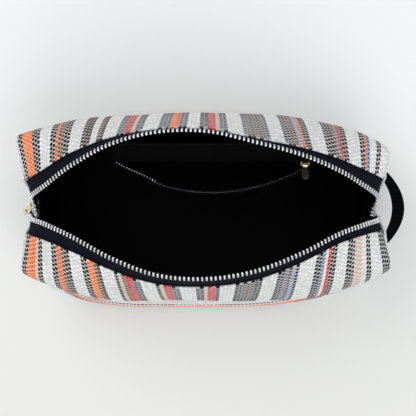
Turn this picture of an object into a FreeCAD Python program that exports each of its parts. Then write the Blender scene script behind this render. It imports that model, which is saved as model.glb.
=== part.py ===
"""Zipped makeup bag, lying open: woven outer shell, interlining, black lining, a metal zip over the
top and down both ends, a zipped inner pocket on the back wall and a webbing side handle.

Frame: +Z up, X along the zip, Y from front (-) to back (+), origin on the floor under the mouth's
centre. Units are millimetres. Each sub-part is written to parts/NODE.step.
"""
import FreeCAD
import Part

import math
import os

from FreeCAD import Rotation, Vector

FRONT, BACK = -1, 1
LEFT, RIGHT = -1, 1

# Overall shape: the box corners' x and y, for each corner of the plan
CORNERS = {
    (FRONT, LEFT): (109.0, 37.0),
    (BACK, LEFT): (111.0, 41.5),
    (FRONT, RIGHT): (108.5, 35.0),
    (BACK, RIGHT): (107.5, 34.0),
}
CORNER_Z = 74.0
BASE_X = 106.0  # half of the base's length
BASE_END_Y = 47.0  # half of the base's width at its ends
BASE_MID_Y = 62.5  # half of the base's width at its middle
BASE_FULLNESS = {LEFT: 5.0, RIGHT: 2.7}  # how far each half keeps its width before it narrows
BASE_CORNER = 6.0  # radius of the base's corners
BASE_WIDEST_Z = 5.0
BASE_FOOT_INSET = 3.0
STIFFENER_RISE = 2.0  # the base board's turned-up edge ends this far above the widest line
BASE_SEAM_Z = 19.0  # height of the seam between the wall and the base panel
SEAM_INSET = 6.5  # how far that seam lies inside the base's widest line
SEAM_X = 104.0
END_SEAM_Z = 45.0  # height of the seam across each end
SHOULDER_MID = {FRONT: (51.5, 84.0), BACK: (49.5, 80.0)}  # y and z at the middle of each wall
BELLY = 1.5  # how far the wall bows out between the base seam and the shoulder
FAN = 0.14  # how much the threads fan out from the short zip edge to the longer base
BEND_MID = 30.0  # half of the bend over the shoulder, at the middle of a wall
BEND_END = 8.0  # the same beside the box corners
BEND_EVEN = 0.91  # share of the half wall after which the bend keeps its shortest length
BEND_LIMIT = 0.8  # the bend takes up no more than this share of the top face
DRAW_IN_FOOT = 2.0  # how far an end is drawn in along its middle, at the base seam
DRAW_IN_TOP = 6.5  # the same at its top

# The mouth: each rim is an arch that drops to the foot of a notch in each end
MOUTH_X = {LEFT: 106.0, RIGHT: 102.5}
RIM_TOP_Z = 112.0
RIM_DROP = 57.0
FRONT_RIM = {"reach": 39.3, "round": 1.8, "power": 2.2, "skew": -0.026, "end": 8.8}
BACK_RIM = {"reach": 42.6, "round": 1.7, "power": 1.0, "skew": -0.108, "end": 4.4}
RIM_SOFTENING = 0.04  # rounds off the arch's peak
RIM_BLUNTNESS = 14  # the higher, the squarer the mouth's ends
CREST_ANGLE = 74.0  # degrees along the arch where the zip turns down over the end
NOTCH_ANGLES = (75.5, 84.5)  # the stretch of zip that runs down each side of a notch
CHAIN_FOOT = {LEFT: 76.9, RIGHT: 84.5}  # the left end's teeth stop above the slider's travel
NOTCH_TAPE_REACH = {LEFT: 0.6, RIGHT: 0.93}  # share of the way from the fabric to the teeth's line
NOTCH_TAPE_START = 0.95  # share of a flap's width where that tape comes out from under it
NOTCH_TAPE_SPAN = (0.36, 0.78)  # shares of a flap's height, from its top, between which it runs
NOTCH_FOOT_Y = 4.0  # half of the notch's width at its foot

# Layers, as depths below the outer face
OUTER = (0.0, 1.3)
INTERLINING = (1.7, 2.5)
LINING = (3.1, 3.5)
TAPE = (1.9, 2.4)
TOOTH_DEPTH = 2.15
FABRIC_SETBACK = 7.5  # from the teeth's line back to the folded fabric edge
TAPE_EDGE = 0.6  # from the teeth's line back to the tape's edge
TAPE_TUCK = 3.0  # how far the tape runs on under the fabric
INTERLINING_STOP = 0.6  # how far the interlining stops short of that tape
INTERLINING_FLAP = (0.05, 0.84)  # shares of a flap's width between which its interlining lies
WALL_THICK = 3.5
END_CLEARANCE = 0.9  # from the walls' inner face to an end's edge
FLAP_EDGE_DROP = 1.0
FLAP_TOP_GAP = 4.2  # an end flap starts this far below the top edge, clear of the wall's layers
FLAP_SEAM_GAP = 0.5  # from a flap's foot to the seam across the end
WALL_FOOT = 0.012  # share of the wall's height left free above the base seam
GAP = 0.3
TINY = 0.01
OVERCUT = 1.0  # how far a cutting block stands out beyond what it cuts

# The middle of each wall is the part that leans in as the mouth shuts
FLEX = 0.14  # share of the arch's angle, each side of the middle
FLEX_GAP = 0.006
FLEX_FLAT = 0.6  # the middle of the rim stands back this far, so that two walls can meet
FLEX_TEETH_END = 0.6  # degrees from the leaning middle's limit back to its last tooth
FIXED_TEETH_START = 0.9  # degrees from that limit on to the first tooth of a fixed end

# Zip
TOOTH_PITCH = 2.5
TOOTH_WIDTH = 1.3
TOOTH_LENGTH = 3.4
TOOTH_THICK = 1.6
TOOTH_INSIDE = 0.9  # how far a tooth reaches onto its tape
TOOTH_REACH = TOOTH_LENGTH - TOOTH_INSIDE
CHAIN_STEP = 0.02  # degrees along the arch from one measured point of the chain to the next
CREST_FREE = 2.0  # degrees before the crest that stay free of teeth
NOTCH_TEETH_START = 1.0  # degrees from the start of a notch's tape to its first tooth
ZIP_TAIL = (0.5, 7.0, 2.6)  # thickness, width and height of the zip's sewn foot
ZIP_TAIL_DEPTH = 2.2  # how far it lies behind the end's face
ZIP_TAIL_Z = 45.4

# Slider, in its own frame: +Z towards its mouth, +Y out of its bridge side
SLIDER_LENGTH = 10.5
SLIDER_MOUTH_WIDTH = 8.8
SLIDER_TAIL_WIDTH = 6.6
SLIDER_PLATE = 0.9
SLIDER_CHANNEL = 2.1
SLIDER_FLANGE = 0.8
SLIDER_WAIST = 4.7  # length of the straight tail
SLIDER_SHOULDER = 1.8  # the mouth's corners are cut off over this length
SLIDER_NOSE_CUT = 0.9  # and over this width
SLIDER_ROUNDING = 0.3
SLIDER_LONG_EDGE = 4.0  # edges longer than this are rounded
TAPE_SLOT = 1.0
WEDGE_HALF = 0.5
WEDGE_TIP = 5.2  # where the wedge between the two rows starts
WEDGE_FULL = 7.4  # where it reaches its full width
BRIDGE_WIDTH = 1.4
BRIDGE_LENGTH = 7.0
BRIDGE_RISE = 2.9
BRIDGE_THICK = 0.8
BRIDGE_START = 1.6
BRIDGE_ROUNDING = 0.7
PULL_PIN_RADIUS = 0.6
PULL_LENGTH = 22.0
PULL_THICK = 1.3
PULL_EYE_HALF = 2.0  # from the middle of the pull to the middle of an arm
PULL_PIN_AT = 1.1  # how far the pin lies from the bridge's foot
PULL_ARM_WIDTH = 1.1
PULL_ARM_LENGTH = 5.6
PULL_FOOT_HALF = 3.1
PULL_HOLE_RADIUS = 1.1

MAIN_SLIDER_AT = Vector(-106.3, -1.5, 49.0)
MAIN_SLIDER_TURN = 75.0  # the end of the chain is twisted by this much about the vertical

# Inner pocket's slider: the same body, smaller, with a tab rolled round its bridge
POCKET_SCALE = 0.72
KNUCKLE_BORE = 0.65
KNUCKLE_RADIUS = 1.4
KNUCKLE_WIDTH = 2.6
POCKET_PULL_REACH = 9.0
POCKET_PULL_HALF = 2.2
POCKET_PULL_THICK = 0.9
POCKET_PULL_DROOP = 15.0  # degrees below level
POCKET_PULL_WAIST = (-0.5, 3.4)  # where the tab's narrow neck starts, and its length

# Inner pocket
POCKET_MID_X = 2.5
POCKET_HALF_X = 59.5
POCKET_Y = 28.5
POCKET_Z = 66.0
POCKET_SAG = 17.0
POCKET_LIP_DROP = 0.35  # the lip sinks by this share of its sag
POCKET_CLOTH = 0.6
POCKET_TAPE = 0.5
POCKET_TOP = (37.0, 84.0)  # y and z of the seam that the pocket hangs from
POCKET_FOOT = (47.0, 24.0)
POCKET_SEAM_INSET = 0.93  # the seams at the pocket's top and foot are this much shorter than its zip
POCKET_BULGE = 4.0
POCKET_ZIP_RISE = 1.9  # half of the clearance between the two tapes at rest
POCKET_UPPER_TAPE = 3.3  # height of the upper tape
POCKET_LOWER_TAPE = 3.0  # height of the lower tape, and the clearance between it and the zip's middle
POCKET_SEAM_GAP = 0.4
POCKET_TOOTH_DEPTH = 1.2
POCKET_UPPER_TOOTH_Z = 0.5  # from the lip's line up to the upper row
POCKET_LOWER_TOOTH = 2.2  # height of a tooth of the lower row
POCKET_TOOTH_TUCK = 0.1
POCKET_END_FREE = 2.0  # both ends of the pocket's zip stay free of teeth over this length
POCKET_SLIDER_IN = 1.0  # from the right end of the lip to the slider's tail

# Side handle
HANDLE_WIDTH = 20.0
HANDLE_THICK = 2.2
HANDLE_Z = 52.0  # height of its middle
# x and y of the outer face's top and foot edges, from a sewn end to the middle
HANDLE_TOP = ((110.2, 34.0), (110.3, 28.0), (111.2, 17.0), (113.0, 0.0))
HANDLE_FOOT = ((110.2, 34.0), (110.8, 28.0), (114.6, 17.0), (118.8, 0.0))
HANDLE_FREE_Y = 24.0  # half of the free span
HANDLE_CUT_X = 90.0  # start of the block that cuts the free span from the sewn ends
HANDLE_CUT_SIZE = (60.0, 100.0)  # length and height of that block


def mix(a, b, t):
    """The value or point a share t of the way from a to b."""
    return a + (b - a) * t


def rim_point(side, angle):
    """A point of the teeth's line; the angle is 0 at the middle of the mouth and +-90 at a notch's foot."""
    rim = FRONT_RIM if side == FRONT else BACK_RIM
    along = math.sin(math.radians(angle))
    skewed = (along - rim["skew"]) / (1 - rim["skew"] * along)
    share = min(1.0, math.hypot(skewed, RIM_SOFTENING) - RIM_SOFTENING)
    blunt = rim["end"] * math.sqrt(max(0.0, 1 - along**RIM_BLUNTNESS))
    reach = blunt + (rim["reach"] - rim["end"]) * (1 - share ** rim["round"]) ** rim["power"]
    drop = RIM_DROP * (1 - math.cos(math.radians(angle)))
    return Vector(MOUTH_X[RIGHT if along > 0 else LEFT] * along, side * reach, RIM_TOP_Z - drop)


def spread(c):
    """How the fabric's threads fan out from the short zip edge to the longer base, for c from -1 to 1."""
    return (1 + FAN) * c - FAN * c**3


def base_half_width(x):
    """Half of the base's width where it is widest."""
    fullness = BASE_FULLNESS[RIGHT if x > 0 else LEFT]
    return BASE_END_Y + (BASE_MID_Y - BASE_END_Y) * (1 - min(1.0, abs(x / BASE_X)) ** fullness)


def seam_point(side, c):
    """Foot of the wall's thread line c, on the base seam."""
    x = SEAM_X * spread(c)
    return Vector(x, side * (base_half_width(x) - SEAM_INSET), BASE_SEAM_Z)


def shoulder_point(side, c):
    """Where the thread line c turns from the wall to the top face."""
    corner_x, corner_y = CORNERS[side, RIGHT if c > 0 else LEFT]
    mid_y, mid_z = SHOULDER_MID[side]
    rise = 1 - abs(c) ** 3
    return Vector(corner_x * spread(c), side * mix(corner_y, mid_y, rise), mix(CORNER_Z, mid_z, rise))


def wall_line(side, c, flat=False):
    """The thread line c as (foot, start of the bend, shoulder, end of the bend, rim)."""
    foot, shoulder = seam_point(side, c), shoulder_point(side, c)
    rim = rim_point(side, c * CREST_ANGLE)
    if flat:
        rim.y = side * (rim_point(side, 0).y * side + FLEX_FLAT)
    below, above = foot - shoulder, rim - shoulder
    bend = min(mix(BEND_MID, BEND_END, min(1.0, abs(c) / BEND_EVEN)), BEND_LIMIT * above.Length)
    start = shoulder + below * (bend / below.Length)
    end = shoulder + above * (bend / above.Length)
    return foot, start, shoulder, end, rim


def line_lengths(line):
    """Lengths of the straight wall, the bend and the straight top of a thread line."""
    foot, start, shoulder, end, rim = line
    bend = 0.5 * ((end - start).Length + (shoulder - start).Length + (end - shoulder).Length)
    return (start - foot).Length, bend, (rim - end).Length


def wall_point(side, c, t, flat=False):
    """A point of the outer face, from the base seam at t = 0 to the teeth's line at t = 1."""
    line = wall_line(side, c, flat)
    foot, start, shoulder, end, rim = line
    wall, bend, top = line_lengths(line)
    run = t * (wall + bend + top)
    if run <= wall:
        point = mix(foot, start, run / wall)
    elif run < wall + bend:
        s = (run - wall) / bend
        point = mix(mix(start, shoulder, s), mix(shoulder, end, s), s)
    else:
        point = mix(end, rim, (run - wall - bend) / top)
    bow = BELLY * (1 - abs(c) ** 3) * math.sin(math.pi * min(1.0, run / (wall + bend)))
    return point + Vector(0, side * bow, 0)


def short_of_rim(side, c, distance):
    """The t that lies a distance before the teeth's line."""
    return 1 - distance / sum(line_lengths(wall_line(side, c)))


def end_rise(z):
    """Share of the way up an end face, from the base seam to the box corners."""
    return min(1.0, max(0.0, (z - BASE_SEAM_Z) / (CORNER_Z - BASE_SEAM_Z)))


def corner_y(end, side, z):
    """Half of the end face's width between the walls, on one side, at a height."""
    foot = abs(seam_point(side, end).y)
    return mix(foot, CORNERS[side, end][1], end_rise(z)) - WALL_THICK - END_CLEARANCE


def end_face_x(end, y, z):
    """The end face is drawn in along its middle, most at the top."""
    front, back = corner_y(end, FRONT, z), corner_y(end, BACK, z)
    across = min(1.0, max(0.0, (y + front) / (front + back)))
    corner_x = mix(CORNERS[FRONT, end][0], CORNERS[BACK, end][0], across)
    draw_in = mix(DRAW_IN_FOOT, DRAW_IN_TOP, end_rise(z)) * 4 * across * (1 - across)
    return end * (mix(SEAM_X, corner_x, end_rise(z)) - draw_in)


def flap_point(end, side, a, b):
    """Upper half of an end face: a = 0 at the box corner and 1 at the notch, b = 0 at the top edge."""
    edge = wall_point(side, end, short_of_rim(side, end, FABRIC_SETBACK))
    z = mix(mix(CORNER_Z, edge.z, a) - FLAP_EDGE_DROP, END_SEAM_Z + FLAP_SEAM_GAP, b)
    notch = mix(abs(edge.y), NOTCH_FOOT_Y, b)
    y = side * mix(corner_y(end, side, z), notch, a)
    return Vector(end_face_x(end, y, z), y, z)


def lower_end_point(end, a, b):
    """Lower half of an end face, from front (a = 0) to back, and from the seam across the end down."""
    z = mix(END_SEAM_Z, BASE_SEAM_Z + GAP, b)
    y = mix(-corner_y(end, FRONT, z), corner_y(end, BACK, z), a)
    return Vector(end_face_x(end, y, z), y, z)


def outward_of(side):
    """A direction that points out of a wall and out of its top face."""
    return Vector(0, side, 0.6)


def normal_at(surface, u, v, outward):
    """Unit normal of surface(u, v), turned to point outward."""
    step = 1e-3
    du = surface(min(u + step, 1), v) - surface(max(u - step, 0), v)
    dv = surface(u, min(v + step, 1)) - surface(u, max(v - step, 0))
    normal = du.cross(dv).normalize()
    return normal if normal.dot(outward) > 0 else normal * -1


def slab(surface, depths, outward, columns=9, rows=9):
    """A closed solid between two depths below surface(u, v), with u and v from 0 to 1."""
    sheets = []
    for depth in depths:
        grid = []
        for i in range(columns):
            u = i / (columns - 1)
            line = []
            for j in range(rows):
                v = j / (rows - 1)
                line.append(surface(u, v) - normal_at(surface, u, v, outward) * depth)
            grid.append(line)
        sheet = Part.BSplineSurface()
        sheet.interpolate(grid)
        sheets.append(sheet)
    faces = [sheet.toShape() for sheet in sheets]
    u0, u1, v0, v1 = sheets[0].bounds()
    for iso, values in (("uIso", (u0, u1)), ("vIso", (v0, v1))):
        for value in values:
            rims = [Part.Wire(getattr(sheet, iso)(value).toShape()) for sheet in sheets]
            faces.extend(Part.makeLoft(rims, False, True).Faces)
    shell = Part.makeShell(faces)
    shell.sewShape()
    solid = Part.makeSolid(Part.Shell(shell.Faces))
    if solid.Volume < 0:
        solid.reverse()
    return solid


def wall_slab(side, c_range, low, high, depths, flat=False, rows=19):
    """Part of a wall between two thread lines; low and high give t for a thread line."""

    def surface(u, v):
        c = mix(c_range[0], c_range[1], u)
        return wall_point(side, c, mix(low(c), high(c), v), flat)

    columns = 7 if abs(c_range[1] - c_range[0]) < 0.5 else 17
    return slab(surface, depths, outward_of(side), columns, rows)


def fabric_edge(depths):
    """How far a layer stays back from the teeth's line; the interlining stops short of the tape."""
    return FABRIC_SETBACK + (TAPE_TUCK + INTERLINING_STOP if depths == INTERLINING else 0.0)


def wall_layer(side, c_range, depths, flat=False):
    """One layer of a wall, from just above the base seam to the folded fabric edge."""
    return wall_slab(
        side,
        c_range,
        lambda c: WALL_FOOT,
        lambda c: short_of_rim(side, c, fabric_edge(depths)),
        depths,
        flat,
    )


def tape_strip(side, c_range, flat=False):
    """The zip tape along a stretch of the rim."""
    return wall_slab(
        side,
        c_range,
        lambda c: short_of_rim(side, c, FABRIC_SETBACK + TAPE_TUCK),
        lambda c: short_of_rim(side, c, TAPE_EDGE),
        TAPE,
        flat,
        rows=6,
    )


def flex_range():
    """Thread lines that bound the leaning middle of a wall."""
    return -FLEX, FLEX


def end_range(end):
    """Thread lines that bound the fixed part of a wall at one end."""
    limits = (end * (FLEX + FLEX_GAP), end * 1.0)
    return min(limits), max(limits)


def end_layer(end, depths):
    """One layer of a fixed end: both side walls and the two flaps beside the notch."""
    solids = [wall_layer(side, end_range(end), depths) for side in (FRONT, BACK)]
    corner_edge, notch_edge = INTERLINING_FLAP if depths == INTERLINING else (0.0, 1.0)
    top_gap = FLAP_TOP_GAP + (INTERLINING_STOP if depths == INTERLINING else 0.0)
    for side in (FRONT, BACK):

        def flap(u, v, side=side):
            point = flap_point(end, side, mix(corner_edge, notch_edge, u), v)
            point.z -= top_gap * (1 - v)
            return point

        solids.append(slab(flap, depths, Vector(end, 0, 0), 5, 5))
    return Part.makeCompound(solids)


def notch_tape(end, side):
    """The zip tape down one side of a notch."""

    def surface(u, v):
        fabric = flap_point(end, side, NOTCH_TAPE_START, mix(NOTCH_TAPE_SPAN[0], NOTCH_TAPE_SPAN[1], u))
        rim = rim_point(side, end * mix(NOTCH_ANGLES[0], NOTCH_ANGLES[1], u))
        return mix(fabric, rim, v * NOTCH_TAPE_REACH[end])

    return slab(surface, TAPE, Vector(end, 0, 0), 5, 4)


def base_outline(inset, z):
    """The base's outline at a height as a closed wire, drawn in by inset."""
    x_end = BASE_X - inset
    x_side = x_end - BASE_CORNER
    steps = 11
    rows = {}
    for side in (FRONT, BACK):
        points = []
        for i in range(steps):
            x = mix(-x_side, x_side, i / (steps - 1))
            points.append(Vector(x, side * (base_half_width(x) - inset), z))
        rows[side] = points
    edges = []
    for points in rows.values():
        curve = Part.BSplineCurve()
        curve.interpolate(points)
        edges.append(curve.toShape())
    for end, index in ((LEFT, 0), (RIGHT, -1)):
        front_point, back_point = rows[FRONT][index], rows[BACK][index]
        y_end = abs(front_point.y) - BASE_CORNER
        half_way = BASE_CORNER * math.sqrt(0.5)
        x_middle = x_end - BASE_CORNER + half_way
        stops = [Vector(end * x_end, s * y_end, z) for s in (-1, 1)]
        middles = [Vector(end * x_middle, s * (y_end + half_way), z) for s in (-1, 1)]
        edges.append(Part.Arc(front_point, middles[0], stops[0]).toShape())
        edges.append(Part.makeLine(stops[0], stops[1]))
        edges.append(Part.Arc(stops[1], middles[1], back_point).toShape())
    return Part.Wire(Part.__sortEdges__(edges))


def base_block(inset, low, high):
    """The base's volume: flared from its foot to its widest line, then drawn in to the base seam."""
    foot_inset = max(0.0, BASE_FOOT_INSET * (1 - low / BASE_WIDEST_Z))
    sections = [(foot_inset, low), (0.0, BASE_WIDEST_Z)]
    if high > BASE_WIDEST_Z:
        slope = SEAM_INSET / (BASE_SEAM_Z - BASE_WIDEST_Z)
        sections.append((slope * (high - BASE_WIDEST_Z), high))
    wires = [base_outline(inset + draw_in, z) for draw_in, z in sections]
    return Part.makeLoft(wires, True, True)


def base_tray(depths, wall_top):
    """A shallow tray: one layer of the base with its turned-up edge."""
    outer_inset, inner_inset = depths
    outer = base_block(outer_inset, outer_inset, wall_top)
    inner = base_block(inner_inset, inner_inset, wall_top + OVERCUT)
    return outer.cut(inner)


def base_layer(depths):
    """A tray and the two ends that it turns up as far as the seam across each end."""
    solids = [base_tray(depths, BASE_SEAM_Z - GAP)]
    for end in (LEFT, RIGHT):
        solids.append(
            slab(lambda u, v, end=end: lower_end_point(end, u, v), depths, Vector(end, 0, 0), 7, 4)
        )
    return Part.makeCompound(solids)


def frame_of(side, angle):
    """Place of a tooth: its point on the rim, along the chain, inward across the mouth, and the normal."""
    point = rim_point(side, angle)
    chain = (rim_point(side, angle + 0.5) - rim_point(side, angle - 0.5)).normalize()
    if abs(angle) < CREST_ANGLE:
        c = angle / CREST_ANGLE
        inward = (point - wall_point(side, c, short_of_rim(side, c, TOOTH_LENGTH))).normalize()
        outward = outward_of(side)
    else:
        inward = Vector(0, -side, 0)
        outward = Vector(angle, 0, 0)
    normal = chain.cross(inward).normalize()
    if normal.dot(outward) < 0:
        normal = normal * -1
    inward = (inward - chain * inward.dot(chain)).normalize()
    return point, chain, inward, normal


def tooth_at(point, chain, inward, normal):
    """One tooth: a block with a rounded head, straddling the tape's edge."""
    head_radius = TOOTH_WIDTH / 2
    body = Part.makeBox(TOOTH_LENGTH - head_radius, TOOTH_WIDTH, TOOTH_THICK)
    head = Part.makeCylinder(head_radius, TOOTH_THICK)
    head.translate(Vector(TOOTH_LENGTH - head_radius, head_radius, 0))
    tooth = body.fuse(head).removeSplitter()
    tooth.translate(Vector(-TOOTH_INSIDE, -head_radius, -TOOTH_THICK / 2))
    turn = FreeCAD.Matrix()
    sideways = normal.cross(inward)
    turn.A11, turn.A21, turn.A31 = inward.x, inward.y, inward.z
    turn.A12, turn.A22, turn.A32 = sideways.x, sideways.y, sideways.z
    turn.A13, turn.A23, turn.A33 = normal.x, normal.y, normal.z
    tooth = tooth.transformGeometry(turn)
    tooth.translate(point - normal * TOOTH_DEPTH)
    return tooth


def chain_angles(side, start, stop):
    """Angles along the rim that are one tooth pitch apart, between two angles."""
    run = -TOOTH_PITCH / 2 if side == BACK else 0.0
    angle = 0.0
    found = []
    while angle < stop:
        here = rim_point(side, angle)
        there = rim_point(side, angle + CHAIN_STEP)
        if run >= 0 and angle >= start:
            found.append(angle)
        if run >= 0:
            run -= TOOTH_PITCH
        run += (there - here).Length
        angle += CHAIN_STEP
    return found


def teeth(side, start, stop, ends, flat=False):
    """Teeth on both or one of the arch's halves, as a group of separate solids."""
    solids = []
    for end in ends:
        for angle in chain_angles(side, start, stop):
            if angle == 0 and end == RIGHT and len(ends) == 2:
                continue
            point, chain, inward, normal = frame_of(side, end * angle)
            if flat:
                point.y = rim_point(side, 0).y + side * TOOTH_REACH
            solids.append(tooth_at(point, chain, inward, normal))
    return Part.makeCompound(solids)


def zip_tail(end):
    """Foot of the zip at one end: the last stretch of tape, sewn into the seam across the end."""
    thick, width, height = ZIP_TAIL
    x = end_face_x(end, 0, ZIP_TAIL_Z) - end * ZIP_TAIL_DEPTH
    tape = Part.makeBox(thick, width, height)
    tape.translate(Vector(x - thick / 2, -width / 2, ZIP_TAIL_Z))
    return tape


def outline_prism(points, thickness):
    """A prism on a closed outline in the XZ plane, its thickness along +Y from y = 0."""
    wire = Part.makePolygon([Vector(x, 0, z) for x, z in points + points[:1]])
    return Part.Face(wire).extrude(Vector(0, thickness, 0))


def slider_outline(inset, overcut):
    """The slider's outline, drawn in by inset at its sides and run on by overcut at both open ends."""
    half_mouth = SLIDER_MOUTH_WIDTH / 2 - inset
    half_tail = SLIDER_TAIL_WIDTH / 2 - inset
    top = SLIDER_LENGTH + overcut
    right = [
        (half_tail, -overcut),
        (half_tail, SLIDER_WAIST),
        (half_mouth, SLIDER_LENGTH - SLIDER_SHOULDER),
        (half_mouth - SLIDER_NOSE_CUT, top),
    ]
    return right + [(-x, z) for x, z in reversed(right)]


def slider_body():
    """Zip slider: two plates with turned-in flanges, joined by a wedge at the mouth."""
    total = SLIDER_CHANNEL + 2 * SLIDER_PLATE
    block = outline_prism(slider_outline(0.0, 0.0), total)
    channel = outline_prism(slider_outline(SLIDER_FLANGE, OVERCUT), SLIDER_CHANNEL)
    channel.translate(Vector(0, SLIDER_PLATE, 0))
    slot = Part.makeBox(SLIDER_MOUTH_WIDTH + 2 * OVERCUT, TAPE_SLOT, SLIDER_LENGTH + 2 * OVERCUT)
    slot.translate(Vector(-SLIDER_MOUTH_WIDTH / 2 - OVERCUT, total / 2 - TAPE_SLOT / 2, -OVERCUT))
    wedge = outline_prism(
        [
            (0, WEDGE_TIP),
            (WEDGE_HALF, WEDGE_FULL),
            (WEDGE_HALF, SLIDER_LENGTH),
            (-WEDGE_HALF, SLIDER_LENGTH),
            (-WEDGE_HALF, WEDGE_FULL),
        ],
        total,
    )
    body = block.cut(channel).cut(slot).fuse(wedge)
    body.translate(Vector(0, -total / 2, 0))
    long_edges = [edge for edge in body.Edges if edge.Length > SLIDER_LONG_EDGE]
    outer = [edge for edge in long_edges if abs(edge.CenterOfMass.y) > total / 2 - TINY]
    return body.makeFillet(SLIDER_ROUNDING, outer)


def slider_bridge():
    """The loop on the slider's face that holds the pull's pin."""
    outer = Part.makeBox(BRIDGE_WIDTH, BRIDGE_RISE, BRIDGE_LENGTH)
    inner = Part.makeBox(
        BRIDGE_WIDTH + 2 * OVERCUT, BRIDGE_RISE - BRIDGE_THICK, BRIDGE_LENGTH - 2 * BRIDGE_THICK
    )
    inner.translate(Vector(-OVERCUT, 0, BRIDGE_THICK))
    loop = outer.cut(inner)
    top_edges = [edge for edge in loop.Edges if edge.BoundBox.YMin > BRIDGE_RISE - TINY]
    cross_edges = [edge for edge in top_edges if edge.BoundBox.ZLength < TINY]
    loop = loop.makeFillet(BRIDGE_ROUNDING, cross_edges)
    loop.translate(Vector(-BRIDGE_WIDTH / 2, bridge_foot(), BRIDGE_START))
    return loop


def bridge_foot():
    """Height of the slider's outer face above its middle."""
    return SLIDER_CHANNEL / 2 + SLIDER_PLATE


def pull_axis():
    """A point of the pull's pivot, in the slider's frame."""
    rise = (BRIDGE_RISE - BRIDGE_THICK) / 2
    return Vector(0, bridge_foot() + rise, BRIDGE_START + BRIDGE_THICK + PULL_PIN_AT)


def slider_pull():
    """The pull: a pin held by the bridge, two short arms, and a tab that widens to a rounded foot."""
    across, through = Vector(1, 0, 0), Vector(0, 1, 0)
    pin = Part.makeCylinder(PULL_PIN_RADIUS, 2 * PULL_EYE_HALF, across * -PULL_EYE_HALF, across)
    arms = []
    for s in (-1, 1):
        arm = Part.makeBox(PULL_ARM_WIDTH, 2 * PULL_PIN_RADIUS, PULL_ARM_LENGTH + PULL_PIN_RADIUS)
        arm.translate(Vector(s * PULL_EYE_HALF - PULL_ARM_WIDTH / 2, -PULL_PIN_RADIUS, -PULL_ARM_LENGTH))
        arms.append(arm)
    top_half = PULL_EYE_HALF + PULL_ARM_WIDTH / 2
    foot_z = PULL_FOOT_HALF - PULL_LENGTH
    tab = outline_prism(
        [
            (-top_half, -PULL_ARM_LENGTH),
            (top_half, -PULL_ARM_LENGTH),
            (PULL_FOOT_HALF, foot_z),
            (-PULL_FOOT_HALF, foot_z),
        ],
        PULL_THICK,
    )
    foot = Part.makeCylinder(PULL_FOOT_HALF, PULL_THICK, Vector(0, 0, foot_z), through)
    hole = Part.makeCylinder(PULL_HOLE_RADIUS, PULL_THICK + 2 * OVERCUT, Vector(0, -OVERCUT, foot_z), through)
    tab = tab.fuse(foot).cut(hole)
    tab.translate(through * (-PULL_THICK / 2))
    pull = pin.fuse(arms).fuse(tab).removeSplitter()
    pull.translate(pull_axis())
    return pull


def pocket_pull():
    """The pocket's pull: a knuckle rolled round the bridge, and a flat tab that points forward."""
    bridge_top = bridge_foot() + BRIDGE_RISE - BRIDGE_THICK / 2
    centre = Vector(0, bridge_top, BRIDGE_START + BRIDGE_LENGTH / 2) * POCKET_SCALE
    half = KNUCKLE_WIDTH / 2
    along = Vector(0, 0, 1)
    knuckle = Part.makeCylinder(KNUCKLE_RADIUS, KNUCKLE_WIDTH, along * -half, along)
    reach = POCKET_PULL_REACH - POCKET_PULL_HALF
    tab = Part.makeBox(POCKET_PULL_THICK, reach, 2 * POCKET_PULL_HALF)
    tab.translate(Vector(-POCKET_PULL_THICK / 2, 0, -POCKET_PULL_HALF))
    neck_start, neck_length = POCKET_PULL_WAIST
    for z in (half, -half - POCKET_PULL_HALF):
        side_cut = Part.makeBox(POCKET_PULL_THICK + 2 * OVERCUT, neck_length, POCKET_PULL_HALF)
        side_cut.translate(Vector(-POCKET_PULL_THICK / 2 - OVERCUT, neck_start, z))
        tab = tab.cut(side_cut)
    foot_at = Vector(-POCKET_PULL_THICK / 2, reach, 0)
    foot = Part.makeCylinder(POCKET_PULL_HALF, POCKET_PULL_THICK, foot_at, Vector(1, 0, 0))
    bore_length = KNUCKLE_WIDTH + 2 * OVERCUT
    bore = Part.makeCylinder(KNUCKLE_BORE, bore_length, along * (-bore_length / 2), along)
    pull = knuckle.fuse(tab).fuse(foot).removeSplitter().cut(bore)
    pull.rotate(Vector(0, 0, 0), along, POCKET_PULL_DROOP)
    pull.translate(centre)
    return pull


def placed(shape, at, rotation, scale=1.0):
    """A copy of a shape, scaled, turned and moved."""
    copy = shape.copy()
    if scale != 1.0:
        copy.scale(scale)
    copy.Placement = FreeCAD.Placement(at, rotation).multiply(copy.Placement)
    return copy


def main_turn():
    """The main slider's mouth is up and its bridge faces back and out."""
    return Rotation(Vector(0, 0, 1), 90.0 - MAIN_SLIDER_TURN)


def pocket_turn():
    """The pocket slider's mouth is towards the left, and its bridge faces forward and up."""
    upright = Rotation(Vector(0, 1, 0), -90.0)
    face_front = Rotation(Vector(1, 0, 0), 180.0)
    return face_front.multiply(upright)


def pocket_lip_point(share, sag, rise):
    """A point of a pocket lip, for a share from -1 to 1 of its half length."""
    hang = sag * (1 - share**2)
    x = POCKET_MID_X + share * POCKET_HALF_X
    return Vector(x, POCKET_Y - hang, POCKET_Z - POCKET_LIP_DROP * hang + rise)


def pocket_curve(sag, rise, steps=9):
    """Points of a pocket lip: straight, or hanging forward by sag at its middle."""
    return [pocket_lip_point(mix(-1.0, 1.0, i / (steps - 1)), sag, rise) for i in range(steps)]


def pocket_seam(place):
    """Points of the seam at the pocket's top or foot, from its y and z."""
    points = []
    for lip in pocket_curve(0.0, 0.0):
        points.append(Vector(mix(POCKET_MID_X, lip.x, POCKET_SEAM_INSET), place[0], place[1]))
    return points


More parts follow.
